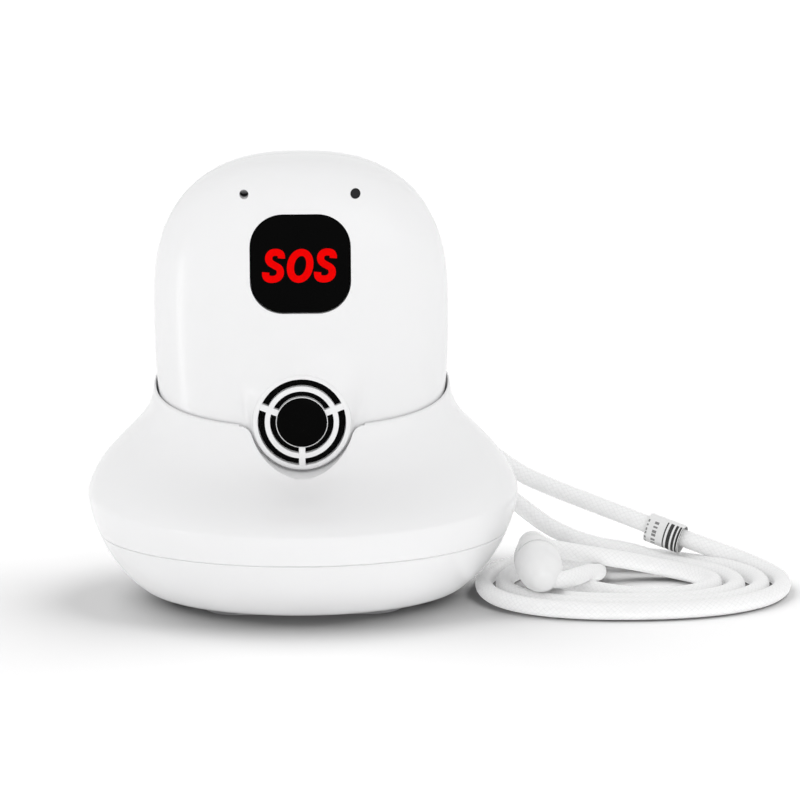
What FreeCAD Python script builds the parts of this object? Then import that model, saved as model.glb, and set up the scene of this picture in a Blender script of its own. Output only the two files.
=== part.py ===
import FreeCAD, Part
import math
import os

V = FreeCAD.Vector

# Alert pendant standing in a charging cradle, with its neck lanyard coiled beside it.
# Millimetres. +X right, +Y to the rear, +Z up. Origin: middle of the cradle's foot, on the table.

# ---- pendant: a pebble whose outline and both sections are superellipses -----------------
PENDANT_HALF_WIDTH = 22.0
PENDANT_HALF_DEPTH = 8.0
PENDANT_WIDEST_Z = 45.0          # height of its widest level
PENDANT_TOP_RISE = 22.85         # from the widest level to the crown
PENDANT_FOOT_DROP = 37.7         # from the widest level to the full round bottom
PENDANT_FLAT_Z = 8.0             # the bottom is flattened here, for the charge pads
OUTLINE_TOP_POWER = 2.52
OUTLINE_FOOT_POWER = 2.6
CROWN_POWER_X = 2.3              # roundness across the face
CROWN_POWER_Z = 3.2              # roundness up the face
CASE_WALL = 1.5
SEAL_INSET = 0.45
SEAL_WIDTH = 0.6
SEAL_HALF_DEPTH = 0.4

# ---- button -------------------------------------------------------------------------------
BUTTON_Z = 52.6
BUTTON_WIDTH = 14.8
BUTTON_HEIGHT = 14.9
BUTTON_CORNER = 4.85
BUTTON_FIT = 0.15
BUTTON_FACE_Y = -7.45
BUTTON_FLANGE_Y = -5.2
BUTTON_FLANGE_THICK = 0.8
BUTTON_FLANGE_LIP = 0.8
BUTTON_TRAVEL = 0.5
DISH_RADIUS = 11.5
DISH_DEPTH = 0.75
POST_RADIUS = 1.5
POST_LENGTH = 0.4
TACT_SIZE = 4.5
TACT_THICK = 1.5
TACT_CORNER = 0.5
TACT_STEM_RADIUS = 1.0
TACT_GAP = 0.05

# ---- speaker ------------------------------------------------------------------------------
SPEAKER_Z = 28.7
BOSS_RADIUS = 7.05
BOSS_FACE_Y = -9.2
GRILLE_THICK = 1.0
OUTER_SLOT = (5.55, 6.65)
INNER_SLOT = (3.8, 4.77)
SPOKE_WIDTH = 1.1
SPOKE_ANGLES = (-90.0, 25.0, 155.0)
BADGE_RADIUS = 3.67
BADGE_THICK = 0.5
BADGE_PROUD = 0.15
MESH_THICK = 0.2
SPEAKER_RADIUS = 6.5
SPEAKER_DEPTH = 3.6
SPEAKER_FRAME_WALL = 0.7
SPEAKER_FIT = 0.1
CONE_START = 0.6
CONE_SKIN = 0.3
MAGNET_RADIUS = 3.4
MAGNET_DEPTH = 1.6

# ---- microphone and light -----------------------------------------------------------------
PORT_X = 8.3
PORT_Z = 63.0
MIC_PORT_RADIUS = 0.68
MIC_RADIUS = 1.5
MIC_THICK = 1.2
LIGHT_RADIUS = 0.72
LIGHT_FIT = 0.05
LIGHT_COLLAR = (0.6, 1.4)        # how far it stands out, and its gap to the board
LED_SIZE = (1.6, 0.6, 0.8)
LED_GAP = 0.1

# ---- pendant inner pieces -----------------------------------------------------------------
BOARD_INSET = 2.1
BOARD_FRONT_Y = -1.6
BOARD_THICK = 1.0
BATTERY_SIZE = (24.0, 4.2, 33.0)
BATTERY_FOOT_Z = 19.0
BATTERY_CORNER = 1.5
PAD_THICK = 0.8
PAD_MARGIN = (2.0, 2.5)
ANTENNA_SIZE = (10.0, 3.4)
ANTENNA_GAP = 1.2                # to the battery below it and the case above it
FEED_RADIUS = 1.0
FEED_THICK = 0.2
RADIO_WIDTH = 18.0
RADIO_THICK = 2.0
RADIO_CORNER = 0.8
RADIO_GAP = 1.2
SIM_SIZE = (13.6, 1.4, 8.6)
SIM_Z = 16.6
SIM_CORNER = 0.6
SIM_WALL = (0.7, 0.3, 0.7)
SIM_FIT = (0.05, 0.01, 0.05)
SIM_PROUD = 0.9
MOTOR_RADIUS = 4.0
MOTOR_THICK = 2.7
MOTOR_GAP = 0.6
SCREW_PLACES = ((12.5, 57.5), (-12.5, 57.5), (10.5, 15.5), (-10.5, 15.5))
CASE_SCREW_RADIUS = 0.8
CASE_SCREW_HEAD = (1.4, 1.0)
CASE_HEAD_Y = 4.2
CASE_BOSS_RADIUS = 2.0
CASE_SCREW_BITE = 2.2
CASE_SCREW_FIT = 0.15
CASE_DRIVE = (0.5, 0.5)          # radius and depth of the driver's recess
CHARGE_PAD_X = (-2.6, 0.0, 2.6)
CHARGE_PAD_Y = 1.7
CHARGE_PAD_RADIUS = 0.9
CHARGE_PAD_LENGTH = 1.6

# ---- cradle -------------------------------------------------------------------------------
POCKET_CLEARANCE = 0.3
RIM_LIP = 0.3
RIM_Z = 32.5                     # height of the rim plane over the pendant's mid plane
RIM_DROP = 4.9                   # how far the rim plane falls from there to the front lip
BELLY_Z = 16.2
BELLY_HALF_WIDTH = 32.2
BELLY_HALF_DEPTH = 23.9
FLARE_STEEPNESS = 6.4
FLARE_MIDDLE = 0.58
SEAM_Z = 10.0
FOOT_HALF_WIDTH = 20.2
FOOT_HALF_DEPTH = 15.0
BOWL_POWER = 1.66
SHELL_WALL = 1.8
FLOOR_THICK = 1.6
TILT_END_Z = 27.0                # stations above this one are all tilted like the rim
CAVITY_TOP_Z = 26.0
WELL_WALL = 1.4
WELL_FLOOR = 1.6
NOTCH_CLEARANCE = 0.35
PAD_FOOT = (30.0, 26.0, 0.8)
PAD_CORNER = 5.0
SHELL_SCREW_PLACES = ((17.2, 6.2), (-17.2, 6.2), (17.2, -6.2), (-17.2, -6.2))
SHELL_SCREW_RADIUS = 1.0
SHELL_HEAD = (1.9, 1.4)
SHELL_BOSS_RADIUS = 3.0
SHELL_HEAD_Z = 2.6
SHELL_SCREW_BITE = 4.5
SHELL_SCREW_FIT = 0.15
SHELL_PILOT_SPARE = 0.4
SHELL_DRIVE = (0.7, 0.7)

# ---- charging parts -----------------------------------------------------------------------
CHARGE_BOARD_Z = 3.0
CHARGE_BOARD_THICK = 1.0
CHARGE_BOARD_HALF_X = 13.8
CHARGE_BOARD_Y = (-10.0, 14.0)
CHARGE_BOARD_CORNER = 2.0
BOARD_TAB_HALF = 5.5
BOARD_TAB_BACK = 3.4             # from the socket's mouth to the end of the board's tab
BOARD_FIT = 0.3
STAKE_PLACES = ((11.0, -7.5), (-11.0, -7.5), (11.0, 11.2), (-11.0, 11.2))
STAKE_RADIUS = 0.8
STAKE_POST_RADIUS = 1.8
STAKE_PROUD = 0.5
STAKE_FIT = 0.05
CONTACT_BLOCK = (11.0, 5.0, 2.0)
CONTACT_RADIUS = 0.5
CONTACT_FIT = 0.06
CONTACT_HOLE_FIT = 0.25
CONTACT_TIP_GAP = 0.1
CONTACT_TRAVEL = 0.6
SPRING_RADIUS = 0.4
SPRING_WIRE = 0.15
SPRING_SOLID = 0.45              # length left when fully pressed
USB_SIZE = (8.94, 7.3, 3.26)
USB_WALL = 0.3
USB_BACK_WALL = 1.0
USB_RECESS = 0.45                # from the cradle's skin in to the socket's mouth
USB_FIT = 0.2
USB_ROUND = 0.97                 # share of the socket's half height that its ends are rounded
TONGUE_SIZE = (6.7, 5.0, 0.7)
BALLAST_X = 11.0
BALLAST_Y = (-14.9, -10.3)
BALLAST_THICK = 4.0
BALLAST_CORNER = 1.5

# ---- lanyard ------------------------------------------------------------------------------
CORD_RADIUS = 1.3
BAIL_RADIUS = 0.9
BAIL_HALF_SPAN = 4.2
BAIL_Z = 60.0
BAIL_BAR_Y = 11.7
BAIL_ROOT_Y = 4.8
BAIL_CORNER = 1.6
BAIL_CORD_GAP = 0.1
BAIL_CORD_DROP = 3.2             # straight fall of each strand before its route starts
COIL_CENTRE = (49.6, -0.4)
COIL_HALF = (23.0, 18.2)
COIL_HOLE_CENTRE = (45.0, -0.5)
COIL_HOLE_HALF = (15.3, 9.2)
STRAND_RIGHT = (
    (0.4, 14.9, 52.0), (2.6, 17.4, 44.6), (6.6, 20.6, 37.4), (12.0, 23.2, 30.6),
    (18.4, 24.4, 24.4), (25.0, 23.2, 18.4), (31.7, 20.2, 13.3), (38.2, 17.9, 10.9),
    (44.8, 15.8, 8.8), (54.6, 11.6, 5.9), (59.6, 10.5, 3.98))
STRAND_LEFT = (
    (-0.5, 10.4, 52.8), (-0.6, 13.9, 46.2), (0.8, 18.4, 40.2), (4.4, 22.2, 33.6),
    (10.0, 24.7, 27.0), (16.0, 25.3, 20.6), (22.0, 23.3, 15.5), (27.6, 20.6, 11.9),
    (32.2, 18.1, 8.8), (37.2, 14.6, 5.7), (43.2, 11.2, 3.98))
TAIL_SOCKET = ((34.9, 3.2, 6.1), (38.7, 4.6, 5.5), (44.6, 7.2, 4.6), (50.8, 9.7, 3.98))
TAIL_PLUG = ((35.9, -11.6, 5.0), (38.7, -7.2, 3.3), (41.5, -1.8, 2.1), (43.7, 4.4, 1.5),
             (44.3, 10.4, 1.36))
CLASP_FRONT = (35.9, -13.5, 5.15)
CLASP_REAR = (34.2, 4.5, 6.45)
CLASP_PLUG_LENGTH = 8.7
CLASP_GAP = 0.3
CLASP_TIP_RADIUS = 1.9
CLASP_WAIST_RADIUS = 3.3
CLASP_SOCKET_RADIUS = 3.55
CLASP_END_RADIUS = 2.3
CLASP_ROUND = 0.8
CLASP_STEM = (1.5, 4.5)
CLASP_STEM_FIT = (0.05, 0.3)
LABEL_LENGTH = 5.7
LABEL_HALF = (1.7, 2.2)
LABEL_DROP = 0.3

SECTION_POINTS = 32
FAR = 3.0 * PENDANT_WIDEST_Z     # past everything, for cutting bodies


def clamp_power(value, power):
    """Superellipse partner of a share of the half size: 1 at the middle, 0 at the edge."""
    return max(1.0 - abs(value) ** power, 0.0) ** (1.0 / power)


def closed_curve(points):
    curve = Part.BSplineCurve()
    curve.interpolate(points, PeriodicFlag=True)
    return Part.Wire(curve.toShape())


def superellipse(power, angle):
    """Unit superellipse point at an angle, evenly spaced enough for a smooth curve."""
    c = math.cos(angle)
    s = math.sin(angle)
    reach = (abs(c) ** power + abs(s) ** power) ** (-1.0 / power)
    return c * reach, s * reach


def pendant_outline(y, inset):
    """Pendant outline in the plane at y, with the skin moved in by inset."""
    share = y / (PENDANT_HALF_DEPTH - inset)
    across = (PENDANT_HALF_WIDTH - inset) * clamp_power(share, CROWN_POWER_X)
    along = clamp_power(share, CROWN_POWER_Z)
    points = []
    for i in range(SECTION_POINTS):
        angle = 2.0 * math.pi * i / SECTION_POINTS
        upper = i <= SECTION_POINTS // 2
        power = OUTLINE_TOP_POWER if upper else OUTLINE_FOOT_POWER
        rise = (PENDANT_TOP_RISE if upper else PENDANT_FOOT_DROP) - inset
        x, z = superellipse(power, angle)
        points.append(V(across * x, y, PENDANT_WIDEST_Z + along * rise * z))
    return closed_curve(points)


def pebble(inset):
    """Whole pendant body, skin moved in by inset (negative makes it larger)."""
    shares = (0.0, 0.3, 0.55, 0.75, 0.88, 0.955)
    levels = [-s for s in reversed(shares[1:])] + list(shares)
    depth = PENDANT_HALF_DEPTH - inset
    wires = [pendant_outline(level * depth, inset) for level in levels]
    return Part.makeLoft(wires, True, False, False, 3)


def face_y(x, z, inset=0.0):
    """Depth of the pebble's skin (as a positive y) at a place on its face."""
    low = 0.0
    high = PENDANT_HALF_DEPTH - inset
    upper = z >= PENDANT_WIDEST_Z
    power = OUTLINE_TOP_POWER if upper else OUTLINE_FOOT_POWER
    rise = (PENDANT_TOP_RISE if upper else PENDANT_FOOT_DROP) - inset
    for _ in range(40):
        middle = (low + high) / 2.0
        share = middle / (PENDANT_HALF_DEPTH - inset)
        across = (PENDANT_HALF_WIDTH - inset) * clamp_power(share, CROWN_POWER_X) + 1e-9
        along = rise * clamp_power(share, CROWN_POWER_Z) + 1e-9
        inside = (abs(x) / across) ** power + (abs(z - PENDANT_WIDEST_Z) / along) ** power
        if inside < 1.0:
            low = middle
        else:
            high = middle
    return low


def box(x0, x1, y0, y1, z0, z1):
    return Part.makeBox(x1 - x0, y1 - y0, z1 - z0, V(x0, y0, z0))


def rod_y(radius, x, z, y0, y1):
    return Part.makeCylinder(radius, y1 - y0, V(x, y0, z), V(0, 1, 0))


def rod_z(radius, x, y, z0, z1):
    return Part.makeCylinder(radius, z1 - z0, V(x, y, z0), V(0, 0, 1))


def rounded_prism(width, height, corner, centre, y0, y1):
    """Rounded rectangle in X and Z, from y0 to y1."""
    body = box(centre[0] - width / 2, centre[0] + width / 2, y0, y1,
               centre[1] - height / 2, centre[1] + height / 2)
    edges = [e for e in body.Edges if abs(abs(e.tangentAt(e.FirstParameter).y) - 1.0) < 1e-6]
    return body.makeFillet(corner, edges)


def flat_prism(width, depth, corner, centre, z0, z1):
    """Rounded rectangle in X and Y, from z0 to z1."""
    body = box(centre[0] - width / 2, centre[0] + width / 2,
               centre[1] - depth / 2, centre[1] + depth / 2, z0, z1)
    edges = [e for e in body.Edges if abs(abs(e.tangentAt(e.FirstParameter).z) - 1.0) < 1e-6]
    return body.makeFillet(corner, edges)


def half_space(y0, y1):
    return box(-FAR, FAR, y0, y1, PENDANT_FLAT_Z, FAR)


# ---- pendant ------------------------------------------------------------------------------

def case_halves(outer, inner):
    skin = outer.cut(inner)
    return skin.common(half_space(-FAR, 0.0)), skin.common(half_space(0.0, FAR))


def seal_ring():
    """Bead between the two case halves."""
    outside = pendant_outline(0.0, SEAL_INSET)
    inside = pendant_outline(0.0, SEAL_INSET + SEAL_WIDTH)
    depth = 2.0 * SEAL_HALF_DEPTH
    prism = Part.Face(outside).extrude(V(0, depth, 0)).cut(Part.Face(inside).extrude(V(0, depth, 0)))
    prism.translate(V(0, -depth / 2, 0))
    return prism.common(box(-FAR, FAR, -FAR, FAR, PENDANT_FLAT_Z + CASE_WALL, FAR))


def button_dish():
    """Ball that sinks a shallow dish around the button."""
    ball = (DISH_RADIUS ** 2 + DISH_DEPTH ** 2) / (2.0 * DISH_DEPTH)
    front = -face_y(0.0, BUTTON_Z)
    return Part.makeSphere(ball, V(0.0, front + DISH_DEPTH - ball, BUTTON_Z))


def grille_slot(radii, y0, y1):
    slot = rod_y(radii[1], 0, SPEAKER_Z, y0, y1).cut(rod_y(radii[0], 0, SPEAKER_Z, y0, y1))
    for angle in SPOKE_ANGLES:
        spoke = box(0, 2 * radii[1], y0, y1, -SPOKE_WIDTH / 2, SPOKE_WIDTH / 2)
        spoke.rotate(V(0, 0, 0), V(0, 1, 0), -angle)
        spoke.translate(V(0, 0, SPEAKER_Z))
        slot = slot.cut(spoke)
    return slot


def case_bosses(outer, y0, y1):
    """Screw bosses inside one case half, trimmed to the case."""
    return [rod_y(CASE_BOSS_RADIUS, x, z, y0, y1).common(outer) for x, z in SCREW_PLACES]


def pendant_front_cover(outer, half):
    boss = rod_y(BOSS_RADIUS, 0, SPEAKER_Z, BOSS_FACE_Y, -PENDANT_HALF_DEPTH + 2 * CASE_WALL)
    chamber_front = BOSS_FACE_Y + GRILLE_THICK
    chamber = rod_y(SPEAKER_RADIUS + SPEAKER_FIT, 0, SPEAKER_Z, chamber_front, BOARD_FRONT_Y)
    bosses = case_bosses(outer, -PENDANT_HALF_DEPTH, BOARD_FRONT_Y)
    cover = half.fuse([boss] + bosses).cut(chamber)
    pilots = [rod_y(CASE_SCREW_RADIUS, x, z, BOARD_FRONT_Y - CASE_SCREW_BITE, BOARD_FRONT_Y)
              for x, z in SCREW_PLACES]
    cover = cover.cut(pilots)
    cover = cover.cut(button_dish())
    opening = rounded_prism(BUTTON_WIDTH + 2 * BUTTON_FIT, BUTTON_HEIGHT + 2 * BUTTON_FIT,
                            BUTTON_CORNER + BUTTON_FIT, (0, BUTTON_Z), -FAR, BUTTON_FLANGE_Y)
    cover = cover.cut(opening)
    for radii in (OUTER_SLOT, INNER_SLOT):
        cover = cover.cut(grille_slot(radii, -FAR, chamber_front))
    seat = rod_y(BADGE_RADIUS, 0, SPEAKER_Z, -FAR, BOSS_FACE_Y + BADGE_THICK - BADGE_PROUD)
    cover = cover.cut(seat)
    cover = cover.cut(rod_y(MIC_PORT_RADIUS, -PORT_X, PORT_Z, -FAR, BOARD_FRONT_Y))
    cover = cover.cut(rod_y(LIGHT_RADIUS + LIGHT_FIT, PORT_X, PORT_Z, -FAR, BOARD_FRONT_Y))
    return cover.cut(seal_ring())


def pendant_rear_cover(outer, half):
    back_y = BOARD_FRONT_Y + BOARD_THICK
    holes = [rod_y(CASE_SCREW_RADIUS + CASE_SCREW_FIT, x, z, back_y, PENDANT_HALF_DEPTH)
             for x, z in SCREW_PLACES]
    cover = half.fuse(case_bosses(outer, back_y, PENDANT_HALF_DEPTH)).cut(holes)
    sinks = [rod_y(CASE_SCREW_HEAD[0] + CASE_SCREW_FIT, x, z, CASE_HEAD_Y, FAR) for x, z in SCREW_PLACES]
    cover = cover.cut(sinks)
    pads = [rod_z(CHARGE_PAD_RADIUS, x, CHARGE_PAD_Y, 0, PENDANT_FLAT_Z + 2 * CHARGE_PAD_LENGTH)
            for x in CHARGE_PAD_X]
    return cover.cut(pads).cut(lanyard_bail()).cut(seal_ring())


def sos_button(inner):
    cap = rounded_prism(BUTTON_WIDTH, BUTTON_HEIGHT, BUTTON_CORNER, (0, BUTTON_Z),
                        BUTTON_FACE_Y, BUTTON_FLANGE_Y)
    lip = 2 * BUTTON_FLANGE_LIP
    flange = rounded_prism(BUTTON_WIDTH + lip, BUTTON_HEIGHT + lip, BUTTON_CORNER + BUTTON_FLANGE_LIP,
                           (0, BUTTON_Z), BUTTON_FLANGE_Y, BUTTON_FLANGE_Y + BUTTON_FLANGE_THICK)
    flange = flange.common(inner)
    foot = BUTTON_FLANGE_Y + BUTTON_FLANGE_THICK
    post = rod_y(POST_RADIUS, 0, BUTTON_Z, foot, foot + POST_LENGTH)
    return cap.fuse([flange, post]).removeSplitter()


def tact_switch():
    """Switch on the board; its stem ends just past the pressed post."""
    stem_end = BUTTON_FLANGE_Y + BUTTON_FLANGE_THICK + POST_LENGTH + BUTTON_TRAVEL + TACT_GAP
    body = rounded_prism(TACT_SIZE, TACT_SIZE, TACT_CORNER, (0, BUTTON_Z),
                         BOARD_FRONT_Y - TACT_THICK, BOARD_FRONT_Y)
    return body.fuse(rod_y(TACT_STEM_RADIUS, 0, BUTTON_Z, stem_end, BOARD_FRONT_Y)).removeSplitter()


def speaker_badge():
    front = BOSS_FACE_Y - BADGE_PROUD
    return rod_y(BADGE_RADIUS, 0, SPEAKER_Z, front, front + BADGE_THICK)


def speaker_mesh():
    front = BOSS_FACE_Y + GRILLE_THICK
    return rod_y(SPEAKER_RADIUS, 0, SPEAKER_Z, front, front + MESH_THICK)


def speaker_pieces():
    """Frame cup, cone and magnet, one behind another on the speaker's axis."""
    front = BOSS_FACE_Y + GRILLE_THICK + MESH_THICK
    back = front + SPEAKER_DEPTH
    wall = SPEAKER_FRAME_WALL
    frame = rod_y(SPEAKER_RADIUS, 0, SPEAKER_Z, front, back)
    frame = frame.cut(rod_y(SPEAKER_RADIUS - wall, 0, SPEAKER_Z, front, back - wall))
    frame = frame.cut(rod_y(MAGNET_RADIUS, 0, SPEAKER_Z, front, back))
    magnet = rod_y(MAGNET_RADIUS, 0, SPEAKER_Z, back - MAGNET_DEPTH, back)
    cone_front = front + CONE_START
    cone_back = back - MAGNET_DEPTH
    depth = cone_back - cone_front
    rim = SPEAKER_RADIUS - wall
    outer = Part.makeCone(rim, MAGNET_RADIUS / 2, depth, V(0, cone_front, SPEAKER_Z), V(0, 1, 0))
    inner = Part.makeCone(rim - CONE_SKIN, MAGNET_RADIUS / 2 - CONE_SKIN, depth - CONE_SKIN,
                          V(0, cone_front, SPEAKER_Z), V(0, 1, 0))
    return frame, outer.cut(inner), magnet


def microphone():
    return rod_y(MIC_RADIUS, -PORT_X, PORT_Z, BOARD_FRONT_Y - MIC_THICK, BOARD_FRONT_Y)


def microphone_boot(inner):
    boot = rod_y(MIC_RADIUS, -PORT_X, PORT_Z, -PENDANT_HALF_DEPTH, BOARD_FRONT_Y - MIC_THICK)
    return boot.cut(rod_y(MIC_PORT_RADIUS, -PORT_X, PORT_Z, -FAR, 0)).common(inner)


def status_led():
    width, thick, height = LED_SIZE
    return box(PORT_X - width / 2, PORT_X + width / 2, BOARD_FRONT_Y - thick, BOARD_FRONT_Y,
               PORT_Z - height / 2, PORT_Z + height / 2)


def light_pipe(outer, inner):
    lip, gap = LIGHT_COLLAR
    pipe = rod_y(LIGHT_RADIUS, PORT_X, PORT_Z, -PENDANT_HALF_DEPTH, BOARD_FRONT_Y - LED_SIZE[1] - LED_GAP)
    collar = rod_y(LIGHT_RADIUS + lip, PORT_X, PORT_Z, -PENDANT_HALF_DEPTH, BOARD_FRONT_Y - gap)
    return pipe.common(outer).fuse(collar.common(inner)).removeSplitter()


def main_board():
    board = Part.Face(pendant_outline(0.0, BOARD_INSET)).extrude(V(0, BOARD_THICK, 0))
    board.translate(V(0, BOARD_FRONT_Y, 0))
    for x, z in SCREW_PLACES:
        board = board.cut(rod_y(CASE_SCREW_RADIUS + CASE_SCREW_FIT, x, z, -FAR, FAR))
    return board


def battery():
    width, thick, height = BATTERY_SIZE
    front = BOARD_FRONT_Y + BOARD_THICK + PAD_THICK
    return rounded_prism(width, height, BATTERY_CORNER, (0, BATTERY_FOOT_Z + height / 2),
                         front, front + thick)


def battery_pad():
    front = BOARD_FRONT_Y + BOARD_THICK
    middle = BATTERY_FOOT_Z + BATTERY_SIZE[2] / 2
    return rounded_prism(BATTERY_SIZE[0] - 2 * PAD_MARGIN[0], BATTERY_SIZE[2] - 2 * PAD_MARGIN[1],
                         BATTERY_CORNER, (0, middle), front, front + PAD_THICK)


def case_top_z(x, y, inset):
    """Height of the pebble's skin over a place inside it."""
    share = y / (PENDANT_HALF_DEPTH - inset)
    across = (PENDANT_HALF_WIDTH - inset) * clamp_power(share, CROWN_POWER_X)
    rise = (PENDANT_TOP_RISE - inset) * clamp_power(share, CROWN_POWER_Z)
    return PENDANT_WIDEST_Z + rise * clamp_power(x / across, OUTLINE_TOP_POWER)


def antenna_patch():
    """Ceramic block between the battery and the top of the case."""
    width, thick = ANTENNA_SIZE
    front = BOARD_FRONT_Y + BOARD_THICK
    foot = BATTERY_FOOT_Z + BATTERY_SIZE[2] + ANTENNA_GAP
    top = case_top_z(width / 2, front + thick + FEED_THICK, CASE_WALL) - ANTENNA_GAP
    patch = box(-width / 2, width / 2, front, front + thick, foot, top)
    feed = rod_y(FEED_RADIUS, 0, (foot + top) / 2, front + thick, front + thick + FEED_THICK)
    return patch.fuse(feed).removeSplitter()


def radio_module():
    top = BUTTON_Z - TACT_SIZE / 2 - RADIO_GAP
    foot = SPEAKER_Z + SPEAKER_RADIUS + RADIO_GAP
    return rounded_prism(RADIO_WIDTH, top - foot, RADIO_CORNER, (0, (top + foot) / 2),
                         BOARD_FRONT_Y - RADIO_THICK, BOARD_FRONT_Y)


def sim_pieces():
    """SIM holder with a slot that is open at its top, and the card in it."""
    width, thick, height = SIM_SIZE
    front = BOARD_FRONT_Y - thick
    holder = rounded_prism(width, height, SIM_CORNER, (0, SIM_Z), front, BOARD_FRONT_Y)
    x = width / 2 - SIM_WALL[0]
    foot = SIM_Z - height / 2 + SIM_WALL[2]
    top = SIM_Z + height / 2
    slot = box(-x, x, front + SIM_WALL[1], BOARD_FRONT_Y - SIM_WALL[1], foot, top)
    card = box(-x + SIM_FIT[0], x - SIM_FIT[0], front + SIM_WALL[1] + SIM_FIT[1],
               BOARD_FRONT_Y - SIM_WALL[1] - SIM_FIT[1], foot + SIM_FIT[2], top + SIM_PROUD)
    return holder.cut(slot), card


def vibration_motor():
    front = BOARD_FRONT_Y + BOARD_THICK
    return rod_y(MOTOR_RADIUS, 0, BATTERY_FOOT_Z - MOTOR_RADIUS - MOTOR_GAP, front, front + MOTOR_THICK)


def charge_pads():
    return Part.makeCompound([
        rod_z(CHARGE_PAD_RADIUS, x, CHARGE_PAD_Y, PENDANT_FLAT_Z, PENDANT_FLAT_Z + CHARGE_PAD_LENGTH)
        for x in CHARGE_PAD_X])


def case_screws():
    screws = []
    for x, z in SCREW_PLACES:
        head_end = CASE_HEAD_Y + CASE_SCREW_HEAD[1]
        shank = rod_y(CASE_SCREW_RADIUS, x, z, BOARD_FRONT_Y - CASE_SCREW_BITE + CASE_SCREW_FIT, CASE_HEAD_Y)
        head = rod_y(CASE_SCREW_HEAD[0], x, z, CASE_HEAD_Y, head_end)
        drive = rod_y(CASE_DRIVE[0], x, z, head_end - CASE_DRIVE[1], FAR)
        screws.append(shank.fuse(head).cut(drive).removeSplitter())
    return Part.makeCompound(screws)


def lanyard_bail():
    """Steel staple through the rear cover: two legs and the bar that the cord goes over."""
    corner = BAIL_CORNER
    left = -BAIL_HALF_SPAN
    right = BAIL_HALF_SPAN
    k = corner * (1.0 - math.sqrt(0.5))
    bar_y = BAIL_BAR_Y
    edges = [
        Part.LineSegment(V(left, BAIL_ROOT_Y, BAIL_Z), V(left, bar_y - corner, BAIL_Z)).toShape(),
        Part.Arc(V(left, bar_y - corner, BAIL_Z), V(left + k, bar_y - k, BAIL_Z),
                 V(left + corner, bar_y, BAIL_Z)).toShape(),
        Part.LineSegment(V(left + corner, bar_y, BAIL_Z), V(right - corner, bar_y, BAIL_Z)).toShape(),
        Part.Arc(V(right - corner, bar_y, BAIL_Z), V(right - k, bar_y - k, BAIL_Z),
                 V(right, bar_y - corner, BAIL_Z)).toShape(),
        Part.LineSegment(V(right, bar_y - corner, BAIL_Z), V(right, BAIL_ROOT_Y, BAIL_Z)).toShape()]
    profile = Part.Wire(Part.makeCircle(BAIL_RADIUS, V(left, BAIL_ROOT_Y, BAIL_Z), V(0, 1, 0)))
    return Part.Wire(edges).makePipeShell([profile], True, False)


# ---- cradle -------------------------------------------------------------------------------

def neck_half_width():
    """Half width of the bell's rim: pendant, clearance and lip at the rim's height."""
    share = (PENDANT_WIDEST_Z - RIM_Z) / PENDANT_FOOT_DROP
    return PENDANT_HALF_WIDTH * clamp_power(share, OUTLINE_FOOT_POWER) + POCKET_CLEARANCE + RIM_LIP


def flare(z):
    """0 at the neck, 1 at the belly: an S curve."""
    share = (RIM_Z - z) / (RIM_Z - BELLY_Z)
    low = 1.0 / (1.0 + math.exp(FLARE_STEEPNESS * FLARE_MIDDLE))
    high = 1.0 / (1.0 + math.exp(-FLARE_STEEPNESS * (1.0 - FLARE_MIDDLE)))
    value = 1.0 / (1.0 + math.exp(-FLARE_STEEPNESS * (share - FLARE_MIDDLE)))
    return (value - low) / (high - low)


def bowl(z):
    """Half width and half depth of the round underside at a height."""
    f = clamp_power((BELLY_Z - z) / BELLY_Z, BOWL_POWER)
    return (FOOT_HALF_WIDTH + f * (BELLY_HALF_WIDTH - FOOT_HALF_WIDTH),
            FOOT_HALF_DEPTH + f * (BELLY_HALF_DEPTH - FOOT_HALF_DEPTH))


def cradle_section(z, inset):
    """Cradle outline at station z: tilted above the seam, level at and below it."""
    if z >= BELLY_Z:
        f = flare(z)
        neck_depth = PENDANT_HALF_DEPTH + POCKET_CLEARANCE + RIM_LIP
        half_width = neck_half_width() + f * (BELLY_HALF_WIDTH - neck_half_width())
        half_depth = neck_depth + f * (BELLY_HALF_DEPTH - neck_depth)
        power = CROWN_POWER_X + f * (2.0 - CROWN_POWER_X)
    else:
        half_width, half_depth = bowl(z)
        power = 2.0
    turn = min(max((z - SEAM_Z) / (TILT_END_Z - SEAM_Z), 0.0), 1.0)
    slope = RIM_DROP * turn * turn * (3.0 - 2.0 * turn) / half_depth
    points = []
    for i in range(SECTION_POINTS):
        x, y = superellipse(power, 2.0 * math.pi * i / SECTION_POINTS)
        y *= half_depth - inset
        points.append(V((half_width - inset) * x, y, z + slope * y))
    return closed_curve(points)


def cradle_loft(levels, inset):
    return Part.makeLoft([cradle_section(z, inset) for z in levels], True, False, False, 3)


def spaced(start, end, count):
    return [start + (end - start) * i / (count - 1) for i in range(count)]


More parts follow.
